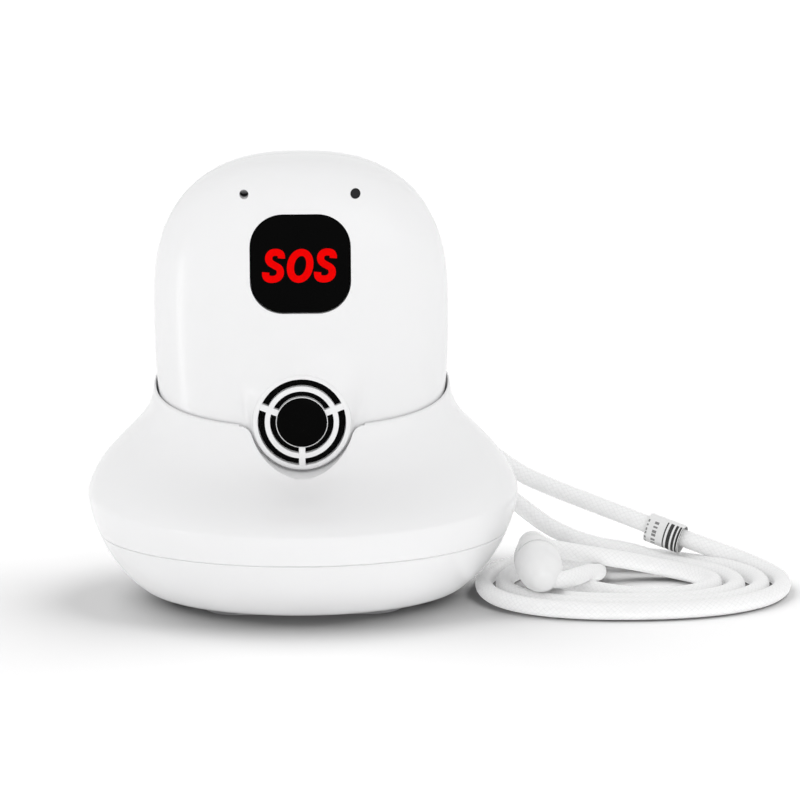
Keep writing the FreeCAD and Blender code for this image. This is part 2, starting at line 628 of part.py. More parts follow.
def cradle_upper_shell(pocket, well):
    outer = cradle_loft(spaced(SEAM_Z, BELLY_Z, 3) + spaced(BELLY_Z, RIM_Z, 8)[1:], 0.0)
    hollow = cradle_loft(spaced(SEAM_Z, BELLY_Z, 3) + spaced(BELLY_Z, CAVITY_TOP_Z, 6)[1:], SHELL_WALL)
    foot = box(-FAR, FAR, -FAR, FAR, PENDANT_FLAT_Z - POCKET_CLEARANCE - WELL_FLOOR, SEAM_Z)
    below_seam = well.common(foot)
    shell = outer.cut(hollow.cut(well)).fuse(below_seam)
    bosses = [rod_z(SHELL_BOSS_RADIUS, x, y, SEAM_Z, RIM_Z).common(outer)
              for x, y in SHELL_SCREW_PLACES]
    shell = shell.fuse(bosses)
    cuts = [rod_z(SHELL_SCREW_RADIUS, x, y, 0, SEAM_Z + SHELL_SCREW_BITE + SHELL_PILOT_SPARE)
            for x, y in SHELL_SCREW_PLACES]
    cuts += [rod_z(CONTACT_RADIUS + CONTACT_HOLE_FIT, x, CHARGE_PAD_Y, 0, PENDANT_FLAT_Z)
             for x in CHARGE_PAD_X]
    notch = rod_y(BOSS_RADIUS + NOTCH_CLEARANCE, 0, SPEAKER_Z, -FAR, -PENDANT_HALF_DEPTH + CASE_WALL)
    return shell.cut([pocket, notch] + cuts)


def cradle_lower_shell():
    foot_z = PAD_FOOT[2]
    outer = cradle_loft([foot_z, 1.6, 3.0, 5.0, 7.5, SEAM_Z], 0.0)
    hollow = cradle_loft([foot_z + FLOOR_THICK, 3.6, 5.4, 7.6, SEAM_Z], SHELL_WALL)
    posts = [rod_z(STAKE_POST_RADIUS, x, y, foot_z, CHARGE_BOARD_Z) for x, y in STAKE_PLACES]
    stakes = [rod_z(STAKE_RADIUS, x, y, foot_z, CHARGE_BOARD_Z + CHARGE_BOARD_THICK + STAKE_PROUD)
              for x, y in STAKE_PLACES]
    bosses = [rod_z(SHELL_BOSS_RADIUS, x, y, foot_z, SEAM_Z) for x, y in SHELL_SCREW_PLACES]
    shell = outer.cut(hollow).fuse([b.common(outer) for b in bosses + posts + stakes])
    cuts = []
    for x, y in SHELL_SCREW_PLACES:
        cuts.append(rod_z(SHELL_SCREW_RADIUS + SHELL_SCREW_FIT, x, y, 0, FAR))
        cuts.append(rod_z(SHELL_HEAD[0] + SHELL_SCREW_FIT, x, y, 0, SHELL_HEAD_Z))
    return shell.cut(cuts + [usb_body(USB_FIT, FAR)])


def usb_middle_z():
    return CHARGE_BOARD_Z + CHARGE_BOARD_THICK + USB_SIZE[2] / 2


def usb_mouth_y():
    """The socket's mouth, just inside the skin of the bowl behind it."""
    return bowl(usb_middle_z())[1] - USB_RECESS


def usb_body(grow, length):
    """Rounded block of the socket's outside, from its inner end rearwards."""
    width, depth, height = USB_SIZE
    start = usb_mouth_y() - depth
    return rounded_prism(width + 2 * grow, height + 2 * grow, USB_ROUND * height / 2 + grow,
                         (0, usb_middle_z()), start, start + length)


def usb_socket_shell():
    width, depth, height = USB_SIZE
    bore = rounded_prism(width - 2 * USB_WALL, height - 2 * USB_WALL, USB_ROUND * height / 2 - USB_WALL,
                         (0, usb_middle_z()), usb_mouth_y() - depth + USB_BACK_WALL, FAR)
    return usb_body(0.0, depth).cut(bore)


def usb_tongue():
    width, depth, height = TONGUE_SIZE
    start = usb_mouth_y() - USB_SIZE[1] + USB_BACK_WALL
    middle = usb_middle_z()
    return box(-width / 2, width / 2, start, start + depth, middle - height / 2, middle + height / 2)


def charge_board():
    top = CHARGE_BOARD_Z + CHARGE_BOARD_THICK
    y0, y1 = CHARGE_BOARD_Y
    middle = (y0 + y1) / 2
    board = flat_prism(2 * CHARGE_BOARD_HALF_X, y1 - y0, CHARGE_BOARD_CORNER, (0, middle),
                       CHARGE_BOARD_Z, top)
    tab = box(-BOARD_TAB_HALF, BOARD_TAB_HALF, middle, usb_mouth_y() - BOARD_TAB_BACK, CHARGE_BOARD_Z, top)
    board = board.fuse(tab)
    holes = [rod_z(STAKE_RADIUS + STAKE_FIT, x, y, 0, FAR) for x, y in STAKE_PLACES]
    screws = [rod_z(SHELL_BOSS_RADIUS + BOARD_FIT, x, y, 0, FAR) for x, y in SHELL_SCREW_PLACES]
    return board.cut(holes + screws).removeSplitter()


def contact_block():
    width, depth, height = CONTACT_BLOCK
    foot = CHARGE_BOARD_Z + CHARGE_BOARD_THICK
    block = box(-width / 2, width / 2, CHARGE_PAD_Y - depth / 2, CHARGE_PAD_Y + depth / 2,
                foot, foot + height)
    bores = [rod_z(CONTACT_RADIUS + CONTACT_FIT, x, CHARGE_PAD_Y, 0, FAR)
             for x in CHARGE_PAD_X]
    return block.cut(bores)


def contact_foot_z():
    """Lower end of the contact pins, where their springs push."""
    return CHARGE_BOARD_Z + CHARGE_BOARD_THICK + SPRING_SOLID + CONTACT_TRAVEL


def contact_pins():
    tip = PENDANT_FLAT_Z - CONTACT_TIP_GAP
    pins = []
    for x in CHARGE_PAD_X:
        shank = rod_z(CONTACT_RADIUS, x, CHARGE_PAD_Y, contact_foot_z(), tip - CONTACT_RADIUS)
        point = Part.makeSphere(CONTACT_RADIUS, V(x, CHARGE_PAD_Y, tip - CONTACT_RADIUS))
        pins.append(shank.fuse(point).removeSplitter())
    return Part.makeCompound(pins)


def contact_springs():
    foot = CHARGE_BOARD_Z + CHARGE_BOARD_THICK
    springs = []
    for x in CHARGE_PAD_X:
        sleeve = rod_z(SPRING_RADIUS, x, CHARGE_PAD_Y, foot, contact_foot_z())
        bore = rod_z(SPRING_RADIUS - SPRING_WIRE, x, CHARGE_PAD_Y, foot, contact_foot_z())
        springs.append(sleeve.cut(bore))
    return Part.makeCompound(springs)


def ballast_plate():
    floor = PAD_FOOT[2] + FLOOR_THICK
    width = 2 * BALLAST_X
    depth = BALLAST_Y[1] - BALLAST_Y[0]
    return flat_prism(width, depth, BALLAST_CORNER, (0, sum(BALLAST_Y) / 2), floor, floor + BALLAST_THICK)


def foot_pad():
    return flat_prism(PAD_FOOT[0], PAD_FOOT[1], PAD_CORNER, (0, 0), 0, PAD_FOOT[2])


def shell_screws():
    screws = []
    for x, y in SHELL_SCREW_PLACES:
        head = rod_z(SHELL_HEAD[0], x, y, SHELL_HEAD_Z - SHELL_HEAD[1], SHELL_HEAD_Z)
        shank = rod_z(SHELL_SCREW_RADIUS, x, y, SHELL_HEAD_Z, SEAM_Z + SHELL_SCREW_BITE)
        drive = rod_z(SHELL_DRIVE[0], x, y, 0, SHELL_HEAD_Z - SHELL_HEAD[1] + SHELL_DRIVE[1])
        screws.append(head.fuse(shank).cut(drive).removeSplitter())
    return Part.makeCompound(screws)


# ---- lanyard ------------------------------------------------------------------------------

def route_edges(points, name):
    """Straight runs joined by tangent arcs, as large as the runs allow; prints the radii."""
    points = [V(*p) for p in points]
    edges = []
    radii = []
    at = points[0]
    for before, corner, after in zip(points, points[1:], points[2:]):
        back = before - corner
        ahead = after - corner
        turn = math.pi - back.getAngle(ahead)
        reach = 0.45 * min(back.Length, ahead.Length)
        radius = reach / math.tan(turn / 2.0)
        start = corner + back.normalize() * reach
        end = corner + ahead.normalize() * reach
        middle_way = (back + ahead).normalize()
        to_centre = radius / math.cos(turn / 2.0)
        middle = corner + middle_way * (to_centre - radius)
        edges.append(Part.LineSegment(at, start).toShape())
        edges.append(Part.Arc(start, middle, end).toShape())
        radii.append(round(radius, 1))
        at = end
    edges.append(Part.LineSegment(at, points[-1]).toShape())
    print(name, "bend radii in mm:", radii)
    return edges


def cord_tube(edges):
    """Round tube along the edges, with its volume compared with section times length."""
    path = Part.Wire(edges)
    start = edges[0].valueAt(edges[0].FirstParameter)
    way = edges[0].tangentAt(edges[0].FirstParameter)
    profile = Part.Wire(Part.makeCircle(CORD_RADIUS, start, way))
    tube = path.makePipeShell([profile], True, False)
    expected = math.pi * CORD_RADIUS ** 2 * path.Length
    print("  length", round(path.Length, 1), "volume over section times length",
          round(tube.Volume / expected, 4))
    return tube


def over_bar(side):
    """Quarter turn from the top of the bail's bar down one side of it."""
    reach = BAIL_RADIUS + CORD_RADIUS + BAIL_CORD_GAP
    top = V(0, BAIL_BAR_Y, BAIL_Z + reach)
    k = reach * math.sqrt(0.5)
    down = V(0, BAIL_BAR_Y + side * reach, BAIL_Z)
    return Part.Arc(top, V(0, BAIL_BAR_Y + side * k, BAIL_Z + k), down).toShape(), down


def neck_cord(points, side, name):
    arc, down = over_bar(side)
    ease = down - V(0, 0, BAIL_CORD_DROP)
    return cord_tube([arc] + route_edges([tuple(down), tuple(ease)] + list(points), name))


def cord_coil():
    """Flat oval bundle of the turns that lie on the table."""
    def oval(centre, half):
        curve = Part.Ellipse(V(centre[0], centre[1], 0), half[0], half[1])
        return Part.Face(Part.Wire(curve.toShape()))
    ring = oval(COIL_CENTRE, COIL_HALF).cut(oval(COIL_HOLE_CENTRE, COIL_HOLE_HALF))
    return ring.Faces[0].extrude(V(0, 0, 2 * CORD_RADIUS))


def on_clasp_axis(shape):
    """Lay a shape made along +Z from the origin onto the clasp's axis, tip first."""
    way = V(*CLASP_REAR) - V(*CLASP_FRONT)
    shape.Placement = FreeCAD.Placement(V(*CLASP_FRONT), FreeCAD.Rotation(V(0, 0, 1), way))
    return shape


def clasp_plug():
    body = Part.makeCone(CLASP_TIP_RADIUS, CLASP_WAIST_RADIUS, CLASP_PLUG_LENGTH)
    body = body.makeFillet(CLASP_ROUND, [e for e in body.Edges if e.CenterOfMass.z < CLASP_GAP])
    stem = Part.makeCylinder(CLASP_STEM[0], CLASP_PLUG_LENGTH + CLASP_STEM[1])
    return on_clasp_axis(body.fuse(stem).removeSplitter())


def clasp_socket():
    start = CLASP_PLUG_LENGTH + CLASP_GAP
    whole = (V(*CLASP_REAR) - V(*CLASP_FRONT)).Length
    body = Part.makeCone(CLASP_SOCKET_RADIUS, CLASP_END_RADIUS, whole - start, V(0, 0, start))
    body = body.makeFillet(2 * CLASP_ROUND, [e for e in body.Edges if e.CenterOfMass.z > whole - CLASP_GAP])
    bore = Part.makeCylinder(CLASP_STEM[0] + CLASP_STEM_FIT[0],
                             CLASP_PLUG_LENGTH + CLASP_STEM[1] + CLASP_STEM_FIT[1])
    return on_clasp_axis(body.cut(bore))


def label_sleeve():
    """Wrapped paper label on the right strand, hanging a little below it."""
    a = V(*STRAND_RIGHT[-2])
    b = V(*STRAND_RIGHT[-3])
    way = (a - b).normalize()
    side = way.cross(V(0, 0, 1)).normalize()
    up = side.cross(way).normalize()
    oval = Part.Ellipse(V(0, 0, 0), LABEL_HALF[1], LABEL_HALF[0])
    prism = Part.Face(Part.Wire(oval.toShape())).extrude(V(0, 0, LABEL_LENGTH))
    turn = FreeCAD.Matrix(up.x, side.x, way.x, 0, up.y, side.y, way.y, 0, up.z, side.z, way.z, 0)
    prism = prism.transformGeometry(turn)
    prism.translate(a - up * LABEL_DROP - way * LABEL_LENGTH / 2)
    return prism


def build():
    outer = pebble(0.0)
    inner = pebble(CASE_WALL)
    front_half, rear_half = case_halves(outer, inner)
    floor_z = PENDANT_FLAT_Z - POCKET_CLEARANCE
    above = box(-FAR, FAR, -FAR, FAR, floor_z, FAR)
    pocket = pebble(-POCKET_CLEARANCE).common(above)
    above_floor = box(-FAR, FAR, -FAR, FAR, floor_z - WELL_FLOOR, FAR)
    well = pebble(-POCKET_CLEARANCE - WELL_WALL).common(above_floor)

    frame, cone, magnet = speaker_pieces()
    holder, card = sim_pieces()
    right = neck_cord(STRAND_RIGHT, 1, "right strand")
    left = neck_cord(STRAND_LEFT, -1, "left strand")
    coil = cord_coil()
    plug = clasp_plug()
    socket = clasp_socket()
    tail_socket = cord_tube(route_edges(TAIL_SOCKET, "socket tail")).cut(socket)
    tail_plug = cord_tube(route_edges(TAIL_PLUG, "plug tail")).cut([plug, coil])
    return {
        "cradle_upper_shell": cradle_upper_shell(pocket, well),
        "cradle_lower_shell": cradle_lower_shell(),
        "foot_pad": foot_pad(),
        "shell_screws": shell_screws(),
        "charge_board": charge_board(),
        "contact_block": contact_block(),
        "contact_pins": contact_pins(),
        "contact_springs": contact_springs(),
        "usb_socket_shell": usb_socket_shell(),
        "usb_tongue": usb_tongue(),
        "ballast_plate": ballast_plate(),
        "pendant_front_cover": pendant_front_cover(outer, front_half),
        "pendant_rear_cover": pendant_rear_cover(outer, rear_half),
        "case_seal": seal_ring(),
        "case_screws": case_screws(),
        "sos_button": sos_button(inner),
        "tact_switch": tact_switch(),
        "speaker_badge": speaker_badge(),
        "speaker_mesh": speaker_mesh(),
        "speaker_frame": frame,
        "speaker_cone": cone,
        "speaker_magnet": magnet,
        "microphone": microphone(),
        "microphone_boot": microphone_boot(inner),
        "status_led": status_led(),
        "light_pipe": light_pipe(outer, inner),
        "main_board": main_board(),
        "battery": battery(),
        "battery_pad": battery_pad(),
        "antenna_patch": antenna_patch(),
        "radio_module": radio_module(),
        "sim_holder": holder,
        "sim_card": card,
        "vibration_motor": vibration_motor(),
        "charge_pads": charge_pads(),
        "lanyard_bail": lanyard_bail(),
        "neck_cord_right": right,
        "neck_cord_left": left,
        "cord_coil": coil,
        "clasp_plug": plug,
        "clasp_socket": socket,
        "clasp_tail_plug": tail_plug,
        "clasp_tail_socket": tail_socket,
        "label_sleeve": label_sleeve().cut(right),
    }


def main():
    os.makedirs("parts", exist_ok=True)
    for node, shape in build().items():
        shape.exportStep(os.path.join("parts", node + ".step"))
        print(node, len(shape.Solids), "solids", round(shape.Volume, 2), "mm3", shape.isValid())


main()
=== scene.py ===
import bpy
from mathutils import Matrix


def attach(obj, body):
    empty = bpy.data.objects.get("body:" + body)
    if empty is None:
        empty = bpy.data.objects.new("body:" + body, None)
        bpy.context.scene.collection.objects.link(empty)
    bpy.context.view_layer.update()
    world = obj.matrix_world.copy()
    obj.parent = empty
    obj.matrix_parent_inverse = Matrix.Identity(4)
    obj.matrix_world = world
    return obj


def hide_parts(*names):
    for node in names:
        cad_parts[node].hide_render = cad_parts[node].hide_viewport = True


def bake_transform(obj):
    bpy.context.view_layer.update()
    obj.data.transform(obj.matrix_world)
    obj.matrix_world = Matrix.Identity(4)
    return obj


bl_info = {
    "name": "Alert pendant in its charging cradle",
    "version": (1, 0, 0),
    "blender": (4, 5, 0),
    "location": "3D View > Sidebar > Alert pendant",
    "description": "Builds a neck-worn alert pendant in its charging cradle, with its lanyard",
    "category": "Object",
}

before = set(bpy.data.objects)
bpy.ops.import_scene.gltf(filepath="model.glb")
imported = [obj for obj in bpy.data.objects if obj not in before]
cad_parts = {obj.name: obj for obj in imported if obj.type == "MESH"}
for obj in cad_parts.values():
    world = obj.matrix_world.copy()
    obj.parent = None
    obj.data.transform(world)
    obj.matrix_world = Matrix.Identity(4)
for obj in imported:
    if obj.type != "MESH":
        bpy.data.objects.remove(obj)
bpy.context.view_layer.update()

import math

import bmesh
import bpy
from mathutils import Matrix, Vector

# ---- sizes of the case and the cradle, in millimetres ---------------------------------------

HALF_WIDTH, HALF_DEPTH = 22.0, 8.0
CASE_COLUMNS, CRADLE_COLUMNS, LABEL_COLUMNS = 256, 288, 48
WIDEST_Z, TOP_RISE, FOOT_DROP, FLAT_Z = 45.0, 22.85, 37.7, 8.0
TOP_POWER, FOOT_POWER, ACROSS_POWER, ALONG_POWER = 2.52, 2.6, 2.3, 3.2
CASE_WALL, SEAM_ANGLES, SKIN_ANGLES = 1.5, [0.0, 0.6, 1.2, 2.0, 3.5], (5.5, 90.0, 96)
BUTTON_Z, BUTTON_SIZE, BUTTON_CORNER, BUTTON_GAP = 52.6, (14.8, 14.9), 4.85, 0.15
BUTTON_FACE_Y, BUTTON_FOOT_Y, BUTTON_EDGE = -7.45, -5.2, 0.3
DISH_RADIUS, DISH_DEPTH, DISH_BLEND, DISH_REACH = 11.5, 0.75, 0.05, 18.4
SPEAKER_Z, BOSS_RADIUS, BOSS_FACE_Y = 28.7, 7.05, -9.2
FRONT_BORES = ((0.0, SPEAKER_Z, 6.6, 96), (-8.3, 63.0, 0.68, 32), (8.3, 63.0, 0.76, 32))
CUT_FROM_Y, OPENING_DEPTH, BORE_DEPTH = -4.0, 8.0, 6.0
OUTER_SKIN_Y, FAIRING_STEP, FAIRING_BLEND = -6.8, 0.12, 1.2
FAIRING_STEEP, FAIRING_GENTLE, FAIRING_TURN = 2.4, 0.38, (-0.2, 0.7)
SPOKE_ANGLES, SPOKE_SIZE, SPOKE_AT, SPOKE_EDGE = (-90.0, 21.5, 158.5), (2.8, 0.98, 1.3), 5.25, 0.07
RIM_Z, RIM_DROP, BELLY_Z, SEAM_Z, TILT_END_Z = 32.5, 4.9, 16.2, 10.0, 27.0
BELLY_HALF, FOOT_HALF, BOWL_POWER = (32.2, 23.9), (20.2, 15.0), 1.66
FLARE_STEEPNESS, FLARE_MIDDLE = 6.4, 0.58
POCKET_GAP, RIM_LIP, SHELL_WALL = 0.3, 0.3, 1.8
RIM_EDGE = ((0.0, 0.22), (0.0, 0.1), (0.06, 0.02))
FOOT_EDGE = ((0.0, 5.0), (0.0, 0.8), (0.1, 0.35), (0.35, 0.1))
CAVITY_TOP_Z, WELL_WALL, WELL_FLOOR, SHELL_FLOOR = 18.0, 1.4, 1.6, 1.6
NOTCH_GAP, NOTCH_CORNER, NOTCH_RIM_Z, NOTCH_START_Y = 0.75, 2.0, 27.85, -6.5
NOTCH_FLARE = ((-9.6, 0.0), (-11.8, 0.02), (-12.4, 0.05), (-12.9, 0.12), (-13.4, 0.28),
               (-13.9, 0.5), (-14.5, 0.9), (-16.0, 1.6), (-28.0, 3.3))
SCREW_PLACES = ((12.5, 57.5), (-12.5, 57.5), (10.5, 15.5), (-10.5, 15.5))
SCREW_WELL, SCREW_WELL_Y = 1.55, 10.2
SHELL_SCREW_PLACES = ((17.2, 6.2), (-17.2, 6.2), (17.2, -6.2), (-17.2, -6.2))
SHELL_SCREW_WELL, SHELL_SCREW_DEPTH = 2.05, 1.9
SOCKET_OPENING, SOCKET_PLACE = (9.34, 3.66, 1.75), (0.0, 24.0, 5.63)
PAD_SIZE, PAD_THICK, PAD_EDGE = (30.0, 26.0, 5.0), 0.8, 0.25
BAIL_Z, BAIL_BAR_Y, BAIL_ROOT_Y = 60.0, 11.7, 4.8
BAIL_HALF_SPAN, BAIL_RADIUS, BAIL_CORNER = 4.2, 0.9, 1.6

# ---- where the lanyard runs, in millimetres; a point without a height lies on the table ------

REAR_CORD = (
    (0.0, 11.7, 62.3), (0.0, 14.0, 62.3), (0.1, 14.05, 56.8), (0.4, 14.9, 52.0), (2.6, 17.4, 44.6),
    (6.6, 20.6, 37.4), (12.0, 23.2, 30.6), (18.4, 24.4, 24.4), (25.0, 23.2, 18.4),
    (31.7, 20.2, 13.3), (38.2, 17.9, 10.9), (44.8, 15.8, 8.8), (54.6, 11.6, 5.9), (60.0, 10.5, 4.0),
    (65.4, 9.6, 2.2), (69.6, 5.4, 1.35), (71.9, 0.0), (71.6, -5.8), (68.6, -11.2), (63.2, -15.0),
    (56.2, -17.0), (48.4, -17.5), (40.6, -16.7), (34.2, -14.3), (29.6, -10.2), (27.2, -4.8),
    (26.9, 1.2), (28.6, 6.8), (32.6, 11.4), (39.2, 14.6), (47.2, 15.8), (53.4, 13.9), (58.8, 10.6),
    (63.2, 8.0), (67.0, 3.6), (68.9, -1.6), (67.8, -6.8), (64.4, -11.0), (59.0, -13.6),
    (52.2, -14.7), (45.2, -14.2), (38.8, -12.8), (33.6, -9.6), (30.4, -4.8), (29.9, 0.8),
    (31.6, 6.0), (35.4, 9.9), (40.2, 11.4), (43.8, 9.6), (44.4, 4.2, 1.5), (43.1, -1.8, 3.3),
    (40.7, -7.2, 4.0), (38.2, -10.8, 4.3), (35.9, -11.6, 5.0))
FRONT_CORD = (
    (0.0, 11.7, 62.3), (0.0, 9.4, 62.3), (-0.1, 9.35, 56.8), (-0.5, 10.4, 52.8), (-0.6, 13.9, 46.2),
    (0.8, 18.4, 40.2), (4.4, 22.2, 33.6), (10.0, 24.7, 27.0), (16.0, 25.3, 20.6),
    (22.0, 23.3, 15.5), (27.6, 20.6, 11.9), (32.2, 18.1, 8.8), (37.2, 14.6, 5.7), (43.2, 11.2, 4.0),
    (49.0, 12.0, 2.9), (54.4, 9.9, 1.5), (59.0, 7.2), (62.8, 3.8), (65.2, -1.2), (64.4, -5.8),
    (61.4, -9.4), (56.2, -11.6), (49.6, -12.1), (43.4, -11.4), (39.2, -10.4), (36.9, -7.2),
    (38.2, -3.4), (42.2, -3.6), (46.2, -6.8), (51.0, -9.2), (56.4, -8.4), (60.2, -5.2),
    (61.9, -1.4), (60.2, 2.2), (56.4, 5.6), (50.4, 6.4, 2.5), (44.4, 4.6, 4.0), (38.6, 3.6, 5.3),
    (34.9, 3.2, 6.1))
CORD_REST, CORD_SIDES, BRAID_LAY = 1.3, 20, 1.15

# ---- clasp and label on the lanyard, in millimetres -----------------------------------------

CLASP_FRONT, CLASP_REAR = (35.9, -13.5, 5.15), (34.2, 4.5, 6.45)
LABEL_BETWEEN, LABEL_LENGTH, LABEL_HALF, LABEL_DROP = (11, 12), 5.7, (1.7, 2.2), 0.3
LABEL_END, LABEL_BULGE = [(0.0, -0.12), (0.0, 0.0), (0.02, 0.03)], 0.03

# ---- letters on the button, in millimetres from each letter's middle ------------------------

LEGEND_SLANT, LEGEND_STROKE, LEGEND_FLATNESS = 0.12, 0.54, 0.05
LEGEND_SHIFT, LEGEND_LIFT = (-0.2, -0.25), 0.005
LEGEND_PLACES = ((-3.83, "S"), (0.17, "O"), (3.9, "S"))
LEGEND_SHAPES = {
    "S": ((1.08, 1.16), (1.06, 1.62), (0.7, 2.07), (-0.36, 2.14), (-0.83, 1.6), (-0.8, 0.92),
          (-0.46, 0.44), (0.24, 0.06), (1.04, -0.36), (1.25, -1.34), (0.7, -2.02), (-0.46, -2.06),
          (-1.0, -1.56), (-1.02, -0.96)),
    "O": ((1.42, 0.93), (0.6, 2.06), (-0.6, 2.06), (-1.42, 0.93), (-1.42, -0.93), (-0.6, -2.06),
          (0.6, -2.06), (1.42, -0.93)),
}


# ---- settings -------------------------------------------------------------------------------

class CaseSettings(bpy.types.PropertyGroup):
    shell_colour: bpy.props.FloatVectorProperty(
        name="Shell colour", description="Colour of the white mouldings",
        subtype="COLOR", size=4, min=0.0, max=1.0, default=(0.83, 0.83, 0.835, 1.0))
    shell_gloss: bpy.props.FloatProperty(
        name="Shell roughness", description="Roughness of the white mouldings",
        subtype="FACTOR", min=0.0, max=1.0, default=0.22)
    parting_gap: bpy.props.FloatProperty(
        name="Parting line", description="Width of the line between two mouldings",
        unit="LENGTH", default=0.00022, precision=5)
    button_colour: bpy.props.FloatVectorProperty(
        name="Button colour", description="Colour of the call button",
        subtype="COLOR", size=4, min=0.0, max=1.0, default=(0.0011, 0.0011, 0.0011, 1.0))
    legend_colour: bpy.props.FloatVectorProperty(
        name="Legend colour", description="Colour of the letters on the call button",
        subtype="COLOR", size=4, min=0.0, max=1.0, default=(0.84, 0.0, 0.0, 1.0))


class CordSettings(bpy.types.PropertyGroup):
    width: bpy.props.FloatProperty(
        name="Cord width", description="Outside diameter of the braided neck cord",
        unit="LENGTH", default=0.0026, precision=5)
    carriers: bpy.props.IntProperty(
        name="Yarns around", description="Yarns of each hand that the braid shows around the cord",
        default=10, min=4, max=24)
    colour: bpy.props.FloatVectorProperty(
        name="Cord colour", description="Colour of the braid",
        subtype="COLOR", size=4, min=0.0, max=1.0, default=(0.94, 0.94, 0.94, 1.0))


class StageSettings(bpy.types.PropertyGroup):
    camera_distance: bpy.props.FloatProperty(
        name="Camera distance", description="From the camera to the point that it looks at",
        unit="LENGTH", default=2.5)
    camera_elevation: bpy.props.FloatProperty(
        name="Camera elevation", description="Height of the camera over the horizon, as an angle",
        subtype="ANGLE", default=math.radians(14.4))
    camera_roll: bpy.props.FloatProperty(
        name="Camera roll", description="Turn of the camera about its line of sight",
        subtype="ANGLE", default=math.radians(-0.5))
    lens: bpy.props.FloatProperty(
        name="Lens", description="Focal length over a 36 mm sensor", default=751.5)
    aim: bpy.props.FloatVectorProperty(
        name="Aim", description="Point that the camera looks at",
        subtype="TRANSLATION", size=3, default=(0.01467, 0.0, 0.02968))
    key_power: bpy.props.FloatProperty(
        name="Key light", description="Power of the main softbox", unit="POWER", default=0.5)
    strip_power: bpy.props.FloatProperty(
        name="Strip light", description="Power of the narrow softbox at the left",
        unit="POWER", default=0.25)
    bounce_light: bpy.props.FloatProperty(
        name="Bounce light", description="Strength of the light that the bright floor sends back",
        default=0.45)
    bounce_power: bpy.props.FloatProperty(
        name="Bounce in front", description="Power of the light that the floor in front sends up",
        unit="POWER", default=0.021, precision=4)
    floor_light: bpy.props.FloatProperty(
        name="Floor light", description="Strength of each of the two lights on the floor alone",
        default=11.0)
    front_light: bpy.props.FloatProperty(
        name="Room in front", description="Strength of the room's light from the front",
        default=1.02)
    rear_light: bpy.props.FloatProperty(
        name="Room behind", description="Strength of the room's light from behind",
        default=0.9)


# ---- shader nodes ---------------------------------------------------------------------------

class Value:
    """A node's output that takes part in Python arithmetic by adding Math nodes."""

    def __init__(self, owner, socket):
        self.owner = owner
        self.socket = socket

    def maths(self, operation, *others):
        return self.owner.node("ShaderNodeMath", {"operation": operation}, (self,) + others)

    def __add__(self, other):
        return self.maths("ADD", other)

    def __sub__(self, other):
        return self.maths("SUBTRACT", other)

    def __mul__(self, other):
        return self.maths("MULTIPLY", other)

    def __rsub__(self, other):
        return self.owner.node("ShaderNodeMath", {"operation": "SUBTRACT"}, (other, self))

    __radd__ = __add__
    __rmul__ = __mul__

    def step(self, low, high):
        """0 below low, 1 above high, smooth between."""
        return self.owner.node("ShaderNodeMapRange", {"interpolation_type": "SMOOTHSTEP"},
                               (self, low, high, 0.0, 1.0))


class Nodes:
    """A node tree, and the one way that nodes are added to it."""

    def __init__(self, tree):
        self.tree = tree

    def plug(self, node, values):
        for place, value in values.items():
            if isinstance(value, Value):
                self.tree.links.new(value.socket, node.inputs[place])
            else:
                node.inputs[place].default_value = value

    def node(self, kind, settings=None, values=(), out=0, **named):
        """Adds a node: its settings first, then its inputs by place or by name."""
        node = self.tree.nodes.new(kind)
        for name, setting in (settings or {}).items():
            setattr(node, name, setting)
        self.plug(node, values if isinstance(values, dict) else dict(enumerate(values)))
        self.plug(node, {name.replace("_", " "): value for name, value in named.items()})
        return Value(self, node.outputs[out])

    def place(self, output="Object"):
        return self.node("ShaderNodeTexCoord", out=output)

    def axes(self, output="Object"):
        """The three numbers of a place."""
        split = self.node("ShaderNodeSeparateXYZ", None, (self.place(output),))
        return [Value(self, socket) for socket in split.socket.node.outputs]

    def noise(self, scale, detail=3.0, rough=0.5, vector=None):
        return self.node("ShaderNodeTexNoise", None, Vector=vector or self.place(),
                         Scale=scale, Detail=detail, Roughness=rough)

    def mix(self, share, first, second):
        return self.node("ShaderNodeMix", {"data_type": "RGBA"}, {0: share, 6: first, 7: second}, 2)

    def bump(self, height, distance, strength=0.5):
        return self.node("ShaderNodeBump", None, Height=height, Distance=distance, Strength=strength)


class Finish(Nodes):
    """A material with one Principled shader and the nodes that feed it."""

    def __init__(self, name, colour, roughness, **fixed):
        self.material = bpy.data.materials.new(name)
        self.material.use_nodes = True
        super().__init__(self.material.node_tree)
        self.shader = self.tree.nodes["Principled BSDF"]
        self.colour = colour
        self.feed(Base_Color=colour, Roughness=roughness, **fixed)

    def feed(self, **values):
        """Sets or links sockets of the shader, and gives the material."""
        self.plug(self.shader, {name.replace("_", " "): value for name, value in values.items()})
        return self.material

    def dress(self, mask, factor, roughness, *relief):
        """Second tone where the mask is 1, a roughness, and a relief: height, distance, strength."""
        tone = self.mix(mask, self.colour, shade(self.colour, factor))
        return self.feed(Base_Color=tone, Roughness=roughness, Normal=self.bump(*relief))


def shade(colour, factor):
    return tuple(c * factor for c in colour[:3]) + (1.0,)


def shell_plastic(name, colour, roughness):
    """White moulded plastic: a fine eroded grain and a faint flow tone."""
    finish = Finish(name, colour, roughness, Specular_IOR_Level=0.5)
    grain = finish.noise(5200.0, 2.0) + 0.35 * finish.noise(1500.0, 3.0)
    return finish.dress(finish.noise(22.0, 2.0).step(0.2, 0.8), 0.992,
                        roughness - 0.015 + 0.03 * finish.noise(900.0, 2.0), grain, 0.0000008, 0.4)


